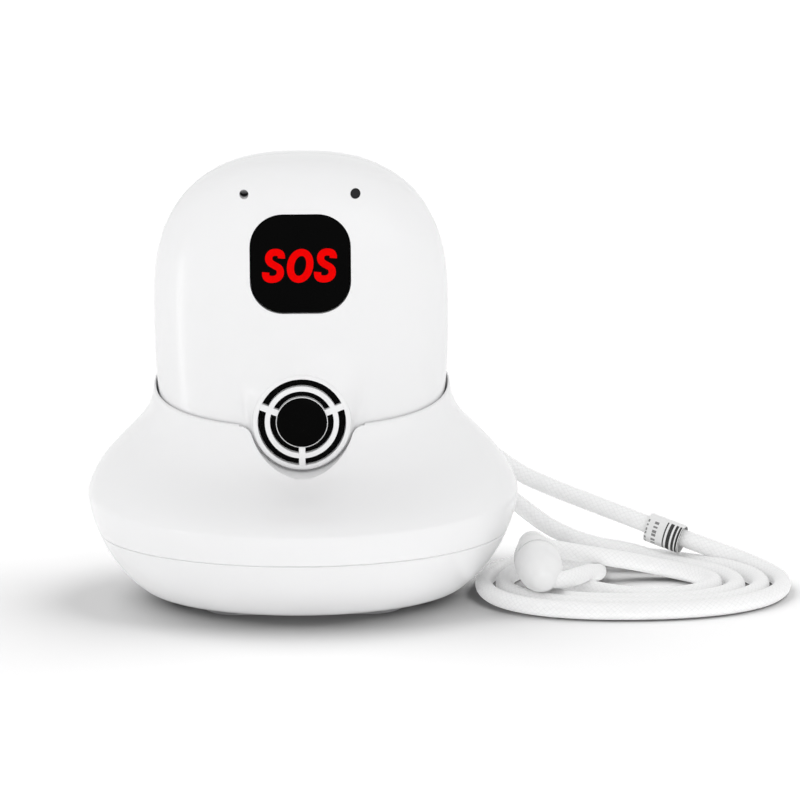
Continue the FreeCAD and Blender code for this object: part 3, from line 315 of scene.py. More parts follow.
def deep_black(name, colour, roughness):
    """Black plastic that gives back little light, with faint handling haze."""
    finish = Finish(name, colour, roughness, Specular_IOR_Level=0.02)
    haze = finish.noise(160.0, 5.0, 0.6)
    wiped = roughness + 0.10 * haze.step(0.45, 0.75) + 0.02 * finish.noise(1800.0, 2.0)
    return finish.dress(haze, 1.5, wiped, finish.noise(2600.0), 0.000003, 0.4)


def printed_ink(name, colour):
    """Screen-printed ink: satin, a little uneven at its surface."""
    finish = Finish(name, colour, 0.42, Specular_IOR_Level=0.02)
    pools = finish.noise(1400.0, 4.0)
    return finish.dress(pools.step(0.3, 0.8), 0.88, 0.36 + 0.14 * pools, pools, 0.000006)


def braid(name, colour, carriers):
    """Tubular braid: two sets of yarns that pass over and under each other along the cord. The colour
    carries painted shade in the crevices between the yarns.
    """
    finish = Finish(name, colour, 0.72, Sheen_Weight=0.25, Sheen_Roughness=0.5)
    around, along, _ = finish.axes("UV")
    right = around * carriers + along
    left = around * carriers - along

    def ridge(turns):
        share = turns.maths("FRACT") - 0.5
        return 1.0 - 4.0 * (share * share)

    swap = (right.maths("FLOOR") + left.maths("FLOOR")).maths("PINGPONG", 1.0).step(0.35, 0.65)
    height = ridge(right) * swap + ridge(left) * (1.0 - swap)
    fibres = finish.noise(6500.0, 3.0, 0.7)
    lint = finish.noise(420.0).step(0.45, 0.8)
    # Painted shade: the yarn colour is darkened where the braid's height is low, in the crevices between
    # the yarns.
    yarn_tone_and_crevice_shade = finish.mix((height + 0.25 * fibres).step(0.0, 0.9), shade(colour, 0.89), colour)
    return finish.feed(Base_Color=finish.mix(lint, yarn_tone_and_crevice_shade, shade(colour, 0.96)),
                       Roughness=0.66 + 0.16 * fibres,
                       Normal=finish.bump(height + 0.35 * fibres, 0.00006))


def smooth_plastic(name, colour, roughness, **fixed):
    """Small moulded piece with slight flow tone and a fine grain."""
    finish = Finish(name, colour, roughness, **fixed)
    return finish.dress(finish.noise(240.0, 4.0).step(0.3, 0.75), 0.95,
                        roughness + 0.08 * (finish.noise(2200.0, 2.0) - 0.5),
                        finish.noise(4200.0), 0.000004)


def brushed_metal(name, colour, roughness):
    """Drawn or plated metal with fine lines along one axis and faint tarnish."""
    finish = Finish(name, colour, roughness, Metallic=1.0)
    lines = finish.node("ShaderNodeMapping", None, Vector=finish.place(), Scale=(1.0, 12.0, 1.0))
    grain = finish.noise(2400.0, 3.0, 0.6, lines)
    return finish.dress(finish.noise(300.0, 4.0).step(0.5, 0.85), 0.8, roughness + 0.14 * grain,
                        grain, 0.000004)


def rubber(name, colour):
    """Matt rubber with a pebbled skin."""
    finish = Finish(name, colour, 0.82)
    pebbles = finish.node("ShaderNodeTexVoronoi", {"feature": "SMOOTH_F1"}, Vector=finish.place(),
                          Scale=1500.0, Smoothness=0.6)
    dust = finish.noise(260.0, 4.0)
    return finish.dress(dust.step(0.5, 0.8), 1.35, 0.74 + 0.14 * dust, pebbles, 0.00005, 0.6)


def circuit_board(name, colour):
    """Solder mask over copper tracks and small pads."""
    finish = Finish(name, colour, 0.38)
    x, y, z = finish.axes()
    tracks = ((x + z + y) * 900.0).maths("PINGPONG", 0.5)
    lanes = finish.node("ShaderNodeTexVoronoi", {"feature": "F1", "distance": "CHEBYCHEV"},
                        Vector=finish.place(), Scale=420.0)
    copper = (1.0 - lanes.step(0.22, 0.3)) + (0.5 - tracks).step(0.34, 0.4) * 0.5
    return finish.dress(copper, 2.1, 0.34 + 0.1 * finish.noise(700.0), copper, 0.00003)


def woven_screen(name, colour):
    """Fine woven screen behind the grille: crossed wires, with painted shade in the openings between
    them for the hollow behind.
    """
    finish = Finish(name, colour, 0.6, Specular_IOR_Level=0.03)
    x, _, z = finish.axes()
    pitch = 2.0 * math.pi / 0.00042
    wires = (x * pitch).maths("SINE").maths("MAXIMUM", (z * pitch).maths("SINE"))
    # Painted shade: the openings between the wires are darkened, standing in for the shaded hollow
    # behind the screen.
    return finish.feed(Base_Color=finish.mix(wires.step(0.1, 0.8), shade(colour, 0.35), colour),
                       Roughness=0.55 + 0.2 * finish.noise(2500.0, 2.0),
                       Normal=finish.bump(wires, 0.00006, 0.7))


def card_print(name, colour, ink):
    """Coated label with a plain block of bars around it, and rows of short dashes beside them."""
    finish = Finish(name, colour, 0.45)
    around, along, _ = finish.axes("UV")

    def waves(value, coarse, fine, share):
        return (value * coarse).maths("SINE") + share * (value * fine).maths("SINE")

    def between(low, high):
        return along.step(low, low + 0.01) * (1.0 - along.step(high, high + 0.01))

    side = ((around + 0.04).maths("FRACT") - 0.5).maths("ABSOLUTE")
    bars = between(0.52, 0.90) * side.step(0.27, 0.28)
    bars = bars * waves(along, 74.0, 43.0, 0.7).step(-0.5, -0.4)
    rows = (along * 39.0).maths("SINE").step(0.1, 0.2) * between(0.10, 0.46)
    dashes = rows * waves(around, 118.0, 71.0, 0.6).step(-0.2, 0.0)
    mask = bars + 0.75 * dashes * side.step(0.31, 0.32)
    fibres = finish.noise(3000.0, 4.0)
    card = finish.mix(fibres, colour, shade(colour, 0.94))
    return finish.feed(Base_Color=finish.mix(mask, card, ink), Roughness=0.4 + 0.15 * fibres,
                       Normal=finish.bump(fibres, 0.00001))


def studio_world(settings):
    """Room that is lighter in front of the object than behind and above it. The camera, gloss and
    glass see it white."""
    world = bpy.data.worlds.new("studio")
    world.use_nodes = True
    room = Nodes(world.node_tree)
    x, y, z = room.axes("Generated")
    ahead = (x * 0.15 - y * 0.9 - z * 0.35).step(-0.75, 0.75)
    strength = ahead * (settings.front_light - settings.rear_light) + settings.rear_light
    light, screen = [room.node("ShaderNodeBackground", None, Strength=power, Color=(1.0, 1.0, 1.0, 1.0))
                     for power in (strength, 1.0)]
    camera, gloss, glass = [room.node("ShaderNodeLightPath", out="Is %s Ray" % ray)
                            for ray in ("Camera", "Glossy", "Transmission")]
    seen = camera.maths("MAXIMUM", gloss).maths("MAXIMUM", glass)
    white = room.node("ShaderNodeMixShader", None, (seen, light, screen))
    room.plug(room.tree.nodes["World Output"], {"Surface": white})
    return world


def floor_paint():
    """Matt grey floor that its own light brings up to white, apart from the object's shadow."""
    finish = Finish("floor_pale", (0.17, 0.17, 0.17, 1.0), 0.95, Specular_IOR_Level=0.0)
    return finish.feed(Roughness=0.9 + 0.05 * finish.noise(3.0, 2.0))


# ---- building shapes ------------------------------------------------------------------------

def arch(value, power):
    """Superellipse partner of a share of the half size: 1 at the middle, 0 at the edge."""
    return max(1.0 - abs(value) ** power, 0.0) ** (1.0 / power)


def oval(power, angle):
    """Point of a unit superellipse."""
    c, s = math.cos(angle), math.sin(angle)
    reach = (abs(c) ** power + abs(s) ** power) ** (-1.0 / power)
    return c * reach, s * reach


def eased(value, low, high):
    """0 up to low, 1 from high on, and a smooth rise between."""
    share = min(max((value - low) / (high - low), 0.0), 1.0)
    return share * share * (3.0 - 2.0 * share)


def mixed(first, second, share):
    """Numbers that lie a share of the way from the first set to the second."""
    return [a + share * (b - a) for a, b in zip(first, second)]


def spaced(start, end, count):
    return [start + (end - start) * i / (count - 1) for i in range(count)]


def closed(shape, weld=0.0005, fill=False):
    """Welds doubled points, fills open ends if asked, and turns the faces outwards."""
    bmesh.ops.remove_doubles(shape, verts=shape.verts, dist=weld)
    if fill:
        bmesh.ops.holes_fill(shape, edges=[e for e in shape.edges if e.is_boundary])
    bmesh.ops.recalc_face_normals(shape, faces=shape.faces)
    return shape


def skin(columns, levels, place):
    """Grid of columns round and one row for each level, moved onto a surface and closed up."""
    shape = bmesh.new()
    rows = len(levels) - 1
    bmesh.ops.create_grid(shape, x_segments=columns, y_segments=rows, size=0.5, calc_uvs=False)
    uv = shape.loops.layers.uv.new("UVMap")
    for face in shape.faces:
        for loop in face.loops:
            loop[uv].uv = (loop.vert.co.x + 0.5, loop.vert.co.y + 0.5)
    for vert in shape.verts:
        level = levels[round((vert.co.y + 0.5) * rows)]
        vert.co = place(vert.co.x + 0.5, level)
    return closed(shape, 0.0004)


def lathe(profile, steps):
    """Profile of (radius, height) points spun about Z."""
    shape = bmesh.new()
    verts = [shape.verts.new((r, 0.0, z)) for r, z in profile]
    for a, b in zip(verts, verts[1:]):
        shape.edges.new((a, b))
    bmesh.ops.spin(shape, geom=shape.verts[:] + shape.edges[:], cent=(0, 0, 0), axis=(0, 0, 1),
                   angle=2.0 * math.pi, steps=steps, use_merge=True)
    return closed(shape)


def rod(radius, height, steps):
    """Cylinder along Z from the origin."""
    shape = bmesh.new()
    bmesh.ops.create_cone(shape, cap_ends=True, segments=steps, radius1=radius, radius2=radius,
                          depth=height)
    bmesh.ops.translate(shape, verts=shape.verts, vec=(0, 0, height / 2))
    return shape


def moved(shape, matrix):
    bmesh.ops.transform(shape, matrix=matrix, verts=shape.verts)
    return shape


def facing_front(x, y, z):
    """Turns a shape made along Z so that its Z points to the front, at a place."""
    return Matrix.Translation((x, y, z)) @ Matrix.Rotation(math.radians(90), 4, "X")


def bevelled(shape, edges, width, segments, clamp):
    bmesh.ops.bevel(shape, geom=edges, offset=width, offset_type="OFFSET", segments=segments,
                    profile=0.5, affect="EDGES", material=-1, clamp_overlap=clamp)
    return shape


def round_box(width, height, corner, depth, segments=12):
    """Box with its four long edges rounded, from Z 0 to the depth."""
    shape = bmesh.new()
    bmesh.ops.create_cube(shape, size=1.0)
    bmesh.ops.scale(shape, vec=(width, height, depth), verts=shape.verts)
    bmesh.ops.translate(shape, vec=(0, 0, depth / 2), verts=shape.verts)
    long_edges = [e for e in shape.edges if abs(e.verts[0].co.z - e.verts[1].co.z) > depth / 2]
    return bevelled(shape, long_edges, corner, segments, False)


def soften(shape, width, segments=2):
    """Rounds the sharp edges of a shape."""
    sharp = [e for e in shape.edges
             if len(e.link_faces) == 2 and e.calc_face_angle() > math.radians(50.0)]
    return bevelled(shape, sharp, width, segments, True)


def pulled(shape, edges, shift):
    """Draws edges out of a shape along a vector, and gives the new ones."""
    grown = bmesh.ops.extrude_edge_only(shape, edges=edges)["geom"]
    verts = [g for g in grown if isinstance(g, bmesh.types.BMVert)]
    bmesh.ops.translate(shape, verts=verts, vec=shift)
    return [g for g in grown if isinstance(g, bmesh.types.BMEdge) and set(g.verts) <= set(verts)]


def ends_of(edges):
    return list(dict.fromkeys(vert for edge in edges for vert in edge.verts))


def joined(shapes):
    """All shapes in one."""
    whole = shapes[0]
    for shape in shapes[1:]:
        extra = bpy.data.meshes.new("extra")
        shape.to_mesh(extra)
        shape.free()
        whole.from_mesh(extra)
        bpy.data.meshes.remove(extra)
    return whole


def object_of(name, shape):
    """Object for a shape in millimetres, at the origin, in metres."""
    bmesh.ops.scale(shape, vec=(0.001, 0.001, 0.001), verts=shape.verts)
    mesh = bpy.data.meshes.new(name)
    shape.to_mesh(mesh)
    shape.free()
    piece = bpy.data.objects.new(name, mesh)
    bpy.context.scene.collection.objects.link(piece)
    return piece


def mesh_of(piece):
    """Mesh that an object's modifiers or its curve make."""
    bpy.context.view_layer.update()
    done = piece.evaluated_get(bpy.context.evaluated_depsgraph_get())
    return bpy.data.meshes.new_from_object(done)


def settled(piece):
    """Makes an object's modifiers part of its mesh."""
    mesh, old = mesh_of(piece), piece.data
    piece.modifiers.clear()
    piece.data = mesh
    bpy.data.meshes.remove(old)
    mesh.name = piece.name
    return piece


def thickened(piece, wall):
    """Gives a one-sided shell its wall, inwards."""
    modifier = piece.modifiers.new("wall", "SOLIDIFY")
    modifier.thickness = wall * 0.001
    modifier.offset = -1.0
    modifier.use_even_offset = False
    return settled(piece)


def carved(piece, cutters):
    """Cuts shapes out of a piece."""
    tools = [object_of("cutter_%d" % number, shape) for number, shape in enumerate(cutters)]
    for tool in tools:
        modifier = piece.modifiers.new("cut", "BOOLEAN")
        modifier.operation = "DIFFERENCE"
        modifier.solver = "EXACT"
        modifier.object = tool
    settled(piece)
    for tool in tools:
        bpy.data.meshes.remove(tool.data)
    return piece


def spline_mesh(routes, **settings):
    """Mesh of smooth curves: control points and whether they close, for each."""
    curve = bpy.data.curves.new("route", "CURVE")
    curve.dimensions = "3D"
    curve.resolution_u = 10
    for name, setting in settings.items():
        setattr(curve, name, setting)
    for points, loops in routes:
        spline = curve.splines.new("NURBS")
        spline.points.add(len(points) - 1)
        for control, point in zip(spline.points, points):
            control.co = (*point, 1.0)
        spline.order_u = 3
        spline.use_cyclic_u = loops
        spline.use_endpoint_u = not loops
    carrier = bpy.data.objects.new("route", curve)
    bpy.context.scene.collection.objects.link(carrier)
    mesh = mesh_of(carrier)
    bpy.data.objects.remove(carrier)
    return mesh


def finished(piece, material, body, nodes=(), angle=35.0):
    """Gives a piece its smooth shading, material and body, and hides the nodes that it stands for."""
    piece.data.materials.clear()
    piece.data.materials.append(material)
    piece.data.shade_smooth()
    piece.data.set_sharp_from_angle(angle=math.radians(angle))
    if body:
        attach(piece, body)
    if nodes:
        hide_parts(*nodes)
    return piece


# ---- the pendant's surface ------------------------------------------------------------------

def pebble_point(around, level):
    """Point of the pendant's skin: level is an angle, -90 at the front and 90 at the back."""
    lift = math.sin(level)
    share = math.copysign(abs(lift) ** (2.0 / ACROSS_POWER), lift)
    upper = around <= 0.5
    x, z = oval(TOP_POWER if upper else FOOT_POWER, 2.0 * math.pi * around)
    across = HALF_WIDTH * arch(share, ACROSS_POWER)
    rise = arch(share, ALONG_POWER) * (TOP_RISE if upper else FOOT_DROP)
    return Vector((across * x, HALF_DEPTH * share, WIDEST_Z + rise * z))


def pendant_half(side, dish):
    """One half of the case's skin; a shallow dish is sunk around the button."""
    levels = [side * math.radians(a) for a in SEAM_ANGLES + spaced(*SKIN_ANGLES)]
    ball = (DISH_RADIUS ** 2 + DISH_DEPTH ** 2) / (2.0 * DISH_DEPTH)
    gap = bpy.context.scene.alert_case.parting_gap * 1000.0

    def place(around, level):
        point = pebble_point(around, level)
        share = abs(point.y) / gap
        if share < 1.0:
            centre = Vector((0.0, point.y, WIDEST_Z))
            point += (centre - point).normalized() * gap * (1.0 - share) ** 2
        off = math.hypot(point.x, point.z - BUTTON_Z)
        if dish and off < DISH_REACH:
            sunk = DISH_DEPTH - HALF_DEPTH - ball + math.sqrt(ball ** 2 - off ** 2)
            point.y = 0.5 * (point.y + sunk + math.hypot(point.y - sunk, DISH_BLEND))
        point.z = max(point.z, FLAT_Z)
        return point

    return skin(CASE_COLUMNS, levels, place)


def fairing(point):
    """Depth of the front skin, which swells up to the speaker's ring, gently above and steeply below."""
    away = math.hypot(point.x, point.z - SPEAKER_Z)
    if away > 2.0 * BOSS_RADIUS:
        return point.y
    gentle = eased((point.z - SPEAKER_Z) / max(away, 0.1), *FAIRING_TURN)
    slope = FAIRING_STEEP + gentle * (FAIRING_GENTLE - FAIRING_STEEP)
    swell = BOSS_FACE_Y + FAIRING_STEP + slope * max(away - BOSS_RADIUS, 0.0)
    near = max(1.0 - abs(point.y - swell) / FAIRING_BLEND, 0.0)
    return min(point.y, swell) - near * near * FAIRING_BLEND / 4.0


# ---- the cradle's surfaces ------------------------------------------------------------------

def flare(z):
    """0 at the neck, 1 at the belly."""
    def curve(share):
        return 1.0 / (1.0 + math.exp(-FLARE_STEEPNESS * (share - FLARE_MIDDLE)))
    low, high = curve(0.0), curve(1.0)
    return (curve((RIM_Z - z) / (RIM_Z - BELLY_Z)) - low) / (high - low)


def cradle_half(z):
    """Half width, half depth and roundness of the cradle at a station."""
    belly = BELLY_HALF + (2.0,)
    if z < BELLY_Z:
        return mixed(FOOT_HALF + (2.0,), belly, arch((BELLY_Z - z) / BELLY_Z, BOWL_POWER))
    width = HALF_WIDTH * arch((WIDEST_Z - RIM_Z) / FOOT_DROP, FOOT_POWER)
    lip = POCKET_GAP + RIM_LIP
    return mixed((width + lip, HALF_DEPTH + lip, ACROSS_POWER), belly, flare(z))


def tilt(z, half_depth):
    """Slope of a station's plane, which rises from the seam to the rim."""
    return RIM_DROP * eased(z, SEAM_Z, TILT_END_Z) / half_depth


def cradle_point(around, z, inset):
    """Point of the cradle's outside at a station, moved in by inset."""
    half_width, half_depth, power = cradle_half(z)
    x, y = oval(power, 2.0 * math.pi * around)
    y *= half_depth - inset
    return Vector(((half_width - inset) * x, y, z + tilt(z, half_depth) * y))


def pocket_point(around, z, grow):
    """Point of the well that the pendant stands in, at a tilted station."""
    slope = tilt(z, cradle_half(min(max(z, SEAM_Z), RIM_Z))[1])
    angle = 2.0 * math.pi * around
    cy = oval(ACROSS_POWER, angle)[1]
    side = 1.0 if cy > 0.0 else -1.0
    depth, drop = HALF_DEPTH + grow, FOOT_DROP + grow
    reach = 0.0
    for _ in range(7):
        low = max(WIDEST_Z - z - slope * side * reach, 0.0)
        reach = depth * arch(min(low / drop, 1.0), ALONG_POWER)
    y = cy * reach
    height = z + slope * y
    along = max(arch(y / depth, ALONG_POWER), 1e-6)
    x = ((HALF_WIDTH + grow) * arch(y / depth, ACROSS_POWER)
         * arch(min((WIDEST_Z - height) / (drop * along), 1.0), FOOT_POWER))
    return Vector((math.copysign(x, math.cos(angle)), y, height))


def centre_point(around, z, inset):
    """Point of the middle line, where a shell closes."""
    return Vector((0.0, 0.0, z))


def shell(stations):
    """Skin through stations, each of them a surface, a height and an inset."""
    return skin(CRADLE_COLUMNS, stations, lambda around, station: station[0](around, *station[1:]))


def seam(side, gap):
    """Stations of the rounded edge of a shell above or below the seam, from the outside in."""
    return [(cradle_point, SEAM_Z + side * 0.4 * gap, 0.3 * gap), (cradle_point, SEAM_Z, gap),
            (cradle_point, SEAM_Z, SHELL_WALL)]


def upper_shell(gap):
    """Cradle above the seam: the well, the rim, the outside, and back up the inside."""
    floor_z = FLAT_Z - POCKET_GAP
    under_z = floor_z - WELL_FLOOR
    stations = [(centre_point, floor_z, 0.0)]
    stations += [(pocket_point, z, POCKET_GAP) for z in spaced(floor_z, RIM_Z - 0.12, 44)]
    stations += [(cradle_point, RIM_Z - lower, inset) for lower, inset in RIM_EDGE]
    stations += [(cradle_point, z, 0.0) for z in spaced(RIM_Z - 0.3, SEAM_Z + gap, 70)]
    stations += seam(1.0, gap)
    stations += [(cradle_point, z, SHELL_WALL) for z in spaced(SEAM_Z + 1.0, CAVITY_TOP_Z, 12)]
    stations += [(pocket_point, z, POCKET_GAP + WELL_WALL)
                 for z in spaced(CAVITY_TOP_Z - 1.0, under_z, 14)]
    return shell(stations + [(centre_point, under_z, 0.0)])


def lower_shell(gap):
    """Cradle under the seam: the foot, the outside, and back down the inside."""
    floor_z = PAD_THICK + SHELL_FLOOR
    stations = [(centre_point, PAD_THICK, 0.0)]
    stations += [(cradle_point, PAD_THICK + higher, inset) for higher, inset in FOOT_EDGE]
    stations += [(cradle_point, z, 0.0) for z in spaced(PAD_THICK + 0.7, SEAM_Z - gap, 40)]
    stations += seam(-1.0, gap)
    stations += [(cradle_point, z, SHELL_WALL) for z in spaced(SEAM_Z - 1.0, floor_z, 8)]
    return shell(stations + [(centre_point, floor_z, 0.0)])


def rim_notch():
    """Cutter for the notch that clears the speaker's ring: an open circle with rounded corners
    at the rim, which widens to the front."""
    radius = BOSS_RADIUS + NOTCH_GAP
    corner_z = NOTCH_RIM_Z - NOTCH_CORNER
    aside = math.sqrt((radius + NOTCH_CORNER) ** 2 - (SPEAKER_Z - corner_z) ** 2)
    lean = math.atan2(SPEAKER_Z - corner_z, aside)
    outline = bmesh.new()

    def arc(vert, centre, angle, steps):
        done = bmesh.ops.spin(outline, geom=[vert], cent=centre, axis=(0, 1, 0),
                              angle=angle, steps=steps)["geom_last"]
        return [g for g in done if isinstance(g, bmesh.types.BMVert)][0]

    start = outline.verts.new((aside, 0.0, NOTCH_RIM_Z))
    end = arc(start, (aside, 0, corner_z), lean - math.pi / 2.0, 8)
    end = arc(end, (0, 0, SPEAKER_Z), math.pi - 2.0 * lean, 64)
    end = arc(end, (-aside, 0, corner_z), lean - math.pi / 2.0, 8)
    high = [outline.verts.new((x, 0.0, NOTCH_RIM_Z + 12.0)) for x in (-aside, aside)]
    for pair in ((end, high[0]), high, (high[1], start)):
        outline.edges.new(pair)
    bmesh.ops.remove_doubles(outline, verts=outline.verts, dist=0.0005)
    bmesh.ops.translate(outline, verts=outline.verts, vec=(0, NOTCH_START_Y, 0))
    ring, place, size = outline.edges[:], NOTCH_START_Y, radius
    for y, wider in NOTCH_FLARE:
        ring = pulled(outline, ring, (0, y - place, 0))
        scale = (radius + wider) / size
        bmesh.ops.scale(outline, verts=ends_of(ring), vec=(scale, 1.0, scale),
                        space=Matrix.Translation((0, 0, -SPEAKER_Z)))
        place, size = y, radius + wider
    return closed(outline, fill=True)


# ---- cords ----------------------------------------------------------------------------------

def line_of(route):
    """Points of the smooth line along a route, in metres."""
    points = [[0.001 * c for c in (*point, CORD_REST)[:3]] for point in route]
    mesh = spline_mesh([(points, False)])
    line = [v.co.copy() for v in mesh.vertices]
    bpy.data.meshes.remove(mesh)
    return line


def lay_cord(name, route, width, material, nodes):
    """Round braided cord along a route, which runs from the pendant past the cradle."""
    line = line_of(route)
    frames = []
    side = Vector((1.0, 0.0, 0.0))
    run = 0.0
    for i, point in enumerate(line):
        way = (line[min(i + 1, len(line) - 1)] - line[max(i - 1, 0)]).normalized()
        side = (side - way * side.dot(way)).normalized()
        if i:
            run += (point - line[i - 1]).length
        frames.append((point * 1000.0, side, way.cross(side), run, width * 500.0))
    levels = [frames[0][:4] + (0.0,)] + frames + [frames[-1][:4] + (0.0,)]

    def place(around, level):
        centre, across, up, _, radius = level
        angle = 2.0 * math.pi * around
        return centre + (across * math.cos(angle) + up * math.sin(angle)) * radius

    shape = skin(CORD_SIDES, levels, place)
    uv = shape.loops.layers.uv.active
    pitch = math.pi * width / bpy.context.scene.alert_cord.carriers * BRAID_LAY
    rows = len(levels) - 1
    for face in shape.faces:
        for loop in face.loops:
            row = round(loop[uv].uv.y * rows)
            loop[uv].uv.y = levels[row][3] / pitch
    cord = finished(object_of(name, shape), material, None, nodes, 60.0)
    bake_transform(cord)


# ---- operators ------------------------------------------------------------------------------

class ALERT_OT_pendant_case(bpy.types.Operator):
    """Front and rear covers of the pendant, with the openings for its button, speaker and ports"""
    bl_idname = "alert.pendant_case"
    bl_label = "Pendant case"

    def execute(self, context):
        case = context.scene.alert_case
        white = shell_plastic("shell_white_pendant", case.shell_colour, case.shell_gloss)
        wide, high = [size + 2.0 * BUTTON_GAP for size in BUTTON_SIZE]
        opening = round_box(wide, high, BUTTON_CORNER + BUTTON_GAP, OPENING_DEPTH)
        cutters = [moved(opening, facing_front(0, CUT_FROM_Y, BUTTON_Z))]
        cutters += [moved(rod(radius, BORE_DEPTH, steps), facing_front(x, CUT_FROM_Y, z))
                    for x, z, radius, steps in FRONT_BORES]
        front = thickened(object_of("case_front", pendant_half(-1.0, True)), CASE_WALL)
        carved(front, cutters)
        for vert in front.data.vertices:
            point = vert.co * 1000.0
            if point.y < OUTER_SKIN_Y:
                vert.co.y = fairing(point) * 0.001
        finished(front, white, "pendant", ("pendant_front_cover",))
        wells = [moved(rod(SCREW_WELL, BORE_DEPTH, 32), facing_front(x, SCREW_WELL_Y, z))
                 for x, z in SCREW_PLACES]
        rear = thickened(object_of("case_rear", pendant_half(1.0, False)), CASE_WALL)
        finished(carved(rear, wells), white, "pendant", ("pendant_rear_cover",))
        return {"FINISHED"}


class ALERT_OT_speaker_grille(bpy.types.Operator):
    """Raised ring with two rows of slots in front of the speaker, and the disc at its middle"""
    bl_idname = "alert.speaker_grille"
    bl_label = "Speaker grille"

    def execute(self, context):
        case = context.scene.alert_case
        white = shell_plastic("shell_white_grille", case.shell_colour, case.shell_gloss)

        def in_place(name, shape, back):
            return object_of(name, moved(shape, facing_front(0, BOSS_FACE_Y + back, SPEAKER_Z)))

        slot, face = 1.0, 2.5
        boss = lathe([(0.0, 2.05), (3.76, 2.05), (3.76, 2.46), (3.79, face), (3.85, face), (3.88, 2.46),
                      (3.88, slot), (4.76, slot), (4.76, 2.45), (4.81, face), (5.49, face), (5.54, 2.45),
                      (5.54, slot), (6.63, slot), (6.63, 2.46), (6.67, face), (6.9, face), (7.08, 2.46),
                      (7.22, 2.38), (7.33, 2.25), (7.38, 2.06), (7.4, 1.8), (7.4, -1.2), (6.3, -1.2),
                      (6.3, 0.0), (0.0, 0.0)], 160)
        finished(in_place("speaker_grille", boss, face), white, "pendant")
        thick = SPOKE_SIZE[2]
        spokes = []
        for angle in SPOKE_ANGLES:
            spoke = bmesh.new()
            bmesh.ops.create_cube(spoke, size=1.0)
            bmesh.ops.scale(spoke, vec=SPOKE_SIZE, verts=spoke.verts)
            turn = Matrix.Rotation(math.radians(angle), 4, "Z")
            place = Matrix.Translation((SPOKE_AT, 0, thick / 2.0))
            spokes.append(moved(soften(spoke, SPOKE_EDGE), turn @ place))
        bars = in_place("grille_spokes", joined(spokes), thick - 0.004)
        finished(bars, white, "pendant")
        black = deep_black("badge_gloss", case.button_colour, 0.14)
        disc = lathe([(0.0, 0.0), (3.72, 0.0), (3.74, 0.38), (3.70, 0.46), (3.58, 0.50), (2.4, 0.54),
                      (1.2, 0.56), (0.0, 0.565)], 96)
        disc = in_place("badge_disc", disc, 0.35)
        finished(disc, black, "pendant", ("speaker_badge",))
        screen = woven_screen("speaker_screen", (0.004, 0.004, 0.004, 1.0))
        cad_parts["speaker_mesh"].material_slots[0].material = screen
        return {"FINISHED"}


class ALERT_OT_call_button(bpy.types.Operator):
    """Call button with its printed letters"""
    bl_idname = "alert.call_button"
    bl_label = "Call button"

    def execute(self, context):
        case = context.scene.alert_case
        black = deep_black("button_black_key", case.button_colour, 0.26)
        height = BUTTON_FOOT_Y - BUTTON_FACE_Y
        cap = round_box(*BUTTON_SIZE, BUTTON_CORNER, height, 16)
        face_edges = [e for e in cap.edges if min(v.co.z for v in e.verts) > height - 0.001]
        bevelled(cap, face_edges, BUTTON_EDGE, 4, True)
        cap = object_of("call_button", moved(cap, facing_front(0, BUTTON_FOOT_Y, BUTTON_Z)))
        finished(cap, black, "sos_button", ("sos_button",), 20.0)
        routes = [([(place + x + LEGEND_SLANT * y, y, 0.0) for x, y in LEGEND_SHAPES[letter]],
                   letter == "O") for place, letter in LEGEND_PLACES]
        mesh = spline_mesh(routes, bevel_depth=LEGEND_STROKE, bevel_resolution=5, use_fill_caps=True)
        place = facing_front(LEGEND_SHIFT[0], BUTTON_FACE_Y - LEGEND_LIFT, BUTTON_Z + LEGEND_SHIFT[1])
        flat = Matrix.Diagonal((1.0, 1.0, LEGEND_FLATNESS, 1.0))
        mesh.transform(Matrix.Scale(0.001, 4) @ place @ flat)
        legend = bpy.data.objects.new("button_legend", mesh)
        context.scene.collection.objects.link(legend)
        ink = printed_ink("legend_red", case.legend_colour)
        finished(legend, ink, "sos_button")
        return {"FINISHED"}


class ALERT_OT_bail(bpy.types.Operator):
    """Steel staple at the back of the pendant that the neck cord goes through"""
    bl_idname = "alert.bail"
    bl_label = "Lanyard bail"

    def execute(self, context):
        shape = bmesh.new()
        bmesh.ops.create_circle(shape, segments=24, radius=BAIL_RADIUS)
        moved(shape, facing_front(-BAIL_HALF_SPAN, BAIL_ROOT_Y, BAIL_Z))
        bend_x, bend_y = BAIL_HALF_SPAN - BAIL_CORNER, BAIL_BAR_Y - BAIL_CORNER

        def turned(edges, x):
            grown = bmesh.ops.spin(shape, geom=ends_of(edges) + edges, cent=(x, bend_y, BAIL_Z),
                                   axis=(0, 0, -1), angle=math.radians(90), steps=10)["geom_last"]
            return [g for g in grown if isinstance(g, bmesh.types.BMEdge)]

        ring = pulled(shape, shape.edges[:], (0, bend_y - BAIL_ROOT_Y, 0))
        ring = turned(ring, -bend_x)
        ring = pulled(shape, ring, (2 * bend_x, 0, 0))
        ring = turned(ring, bend_x)
        pulled(shape, ring, (0, BAIL_ROOT_Y - bend_y, 0))
        steel = brushed_metal("bail_steel", (0.62, 0.62, 0.63, 1.0), 0.2)
        bail = object_of("cord_bail", closed(shape, fill=True))
        finished(bail, steel, "pendant", ("lanyard_bail",))
        return {"FINISHED"}


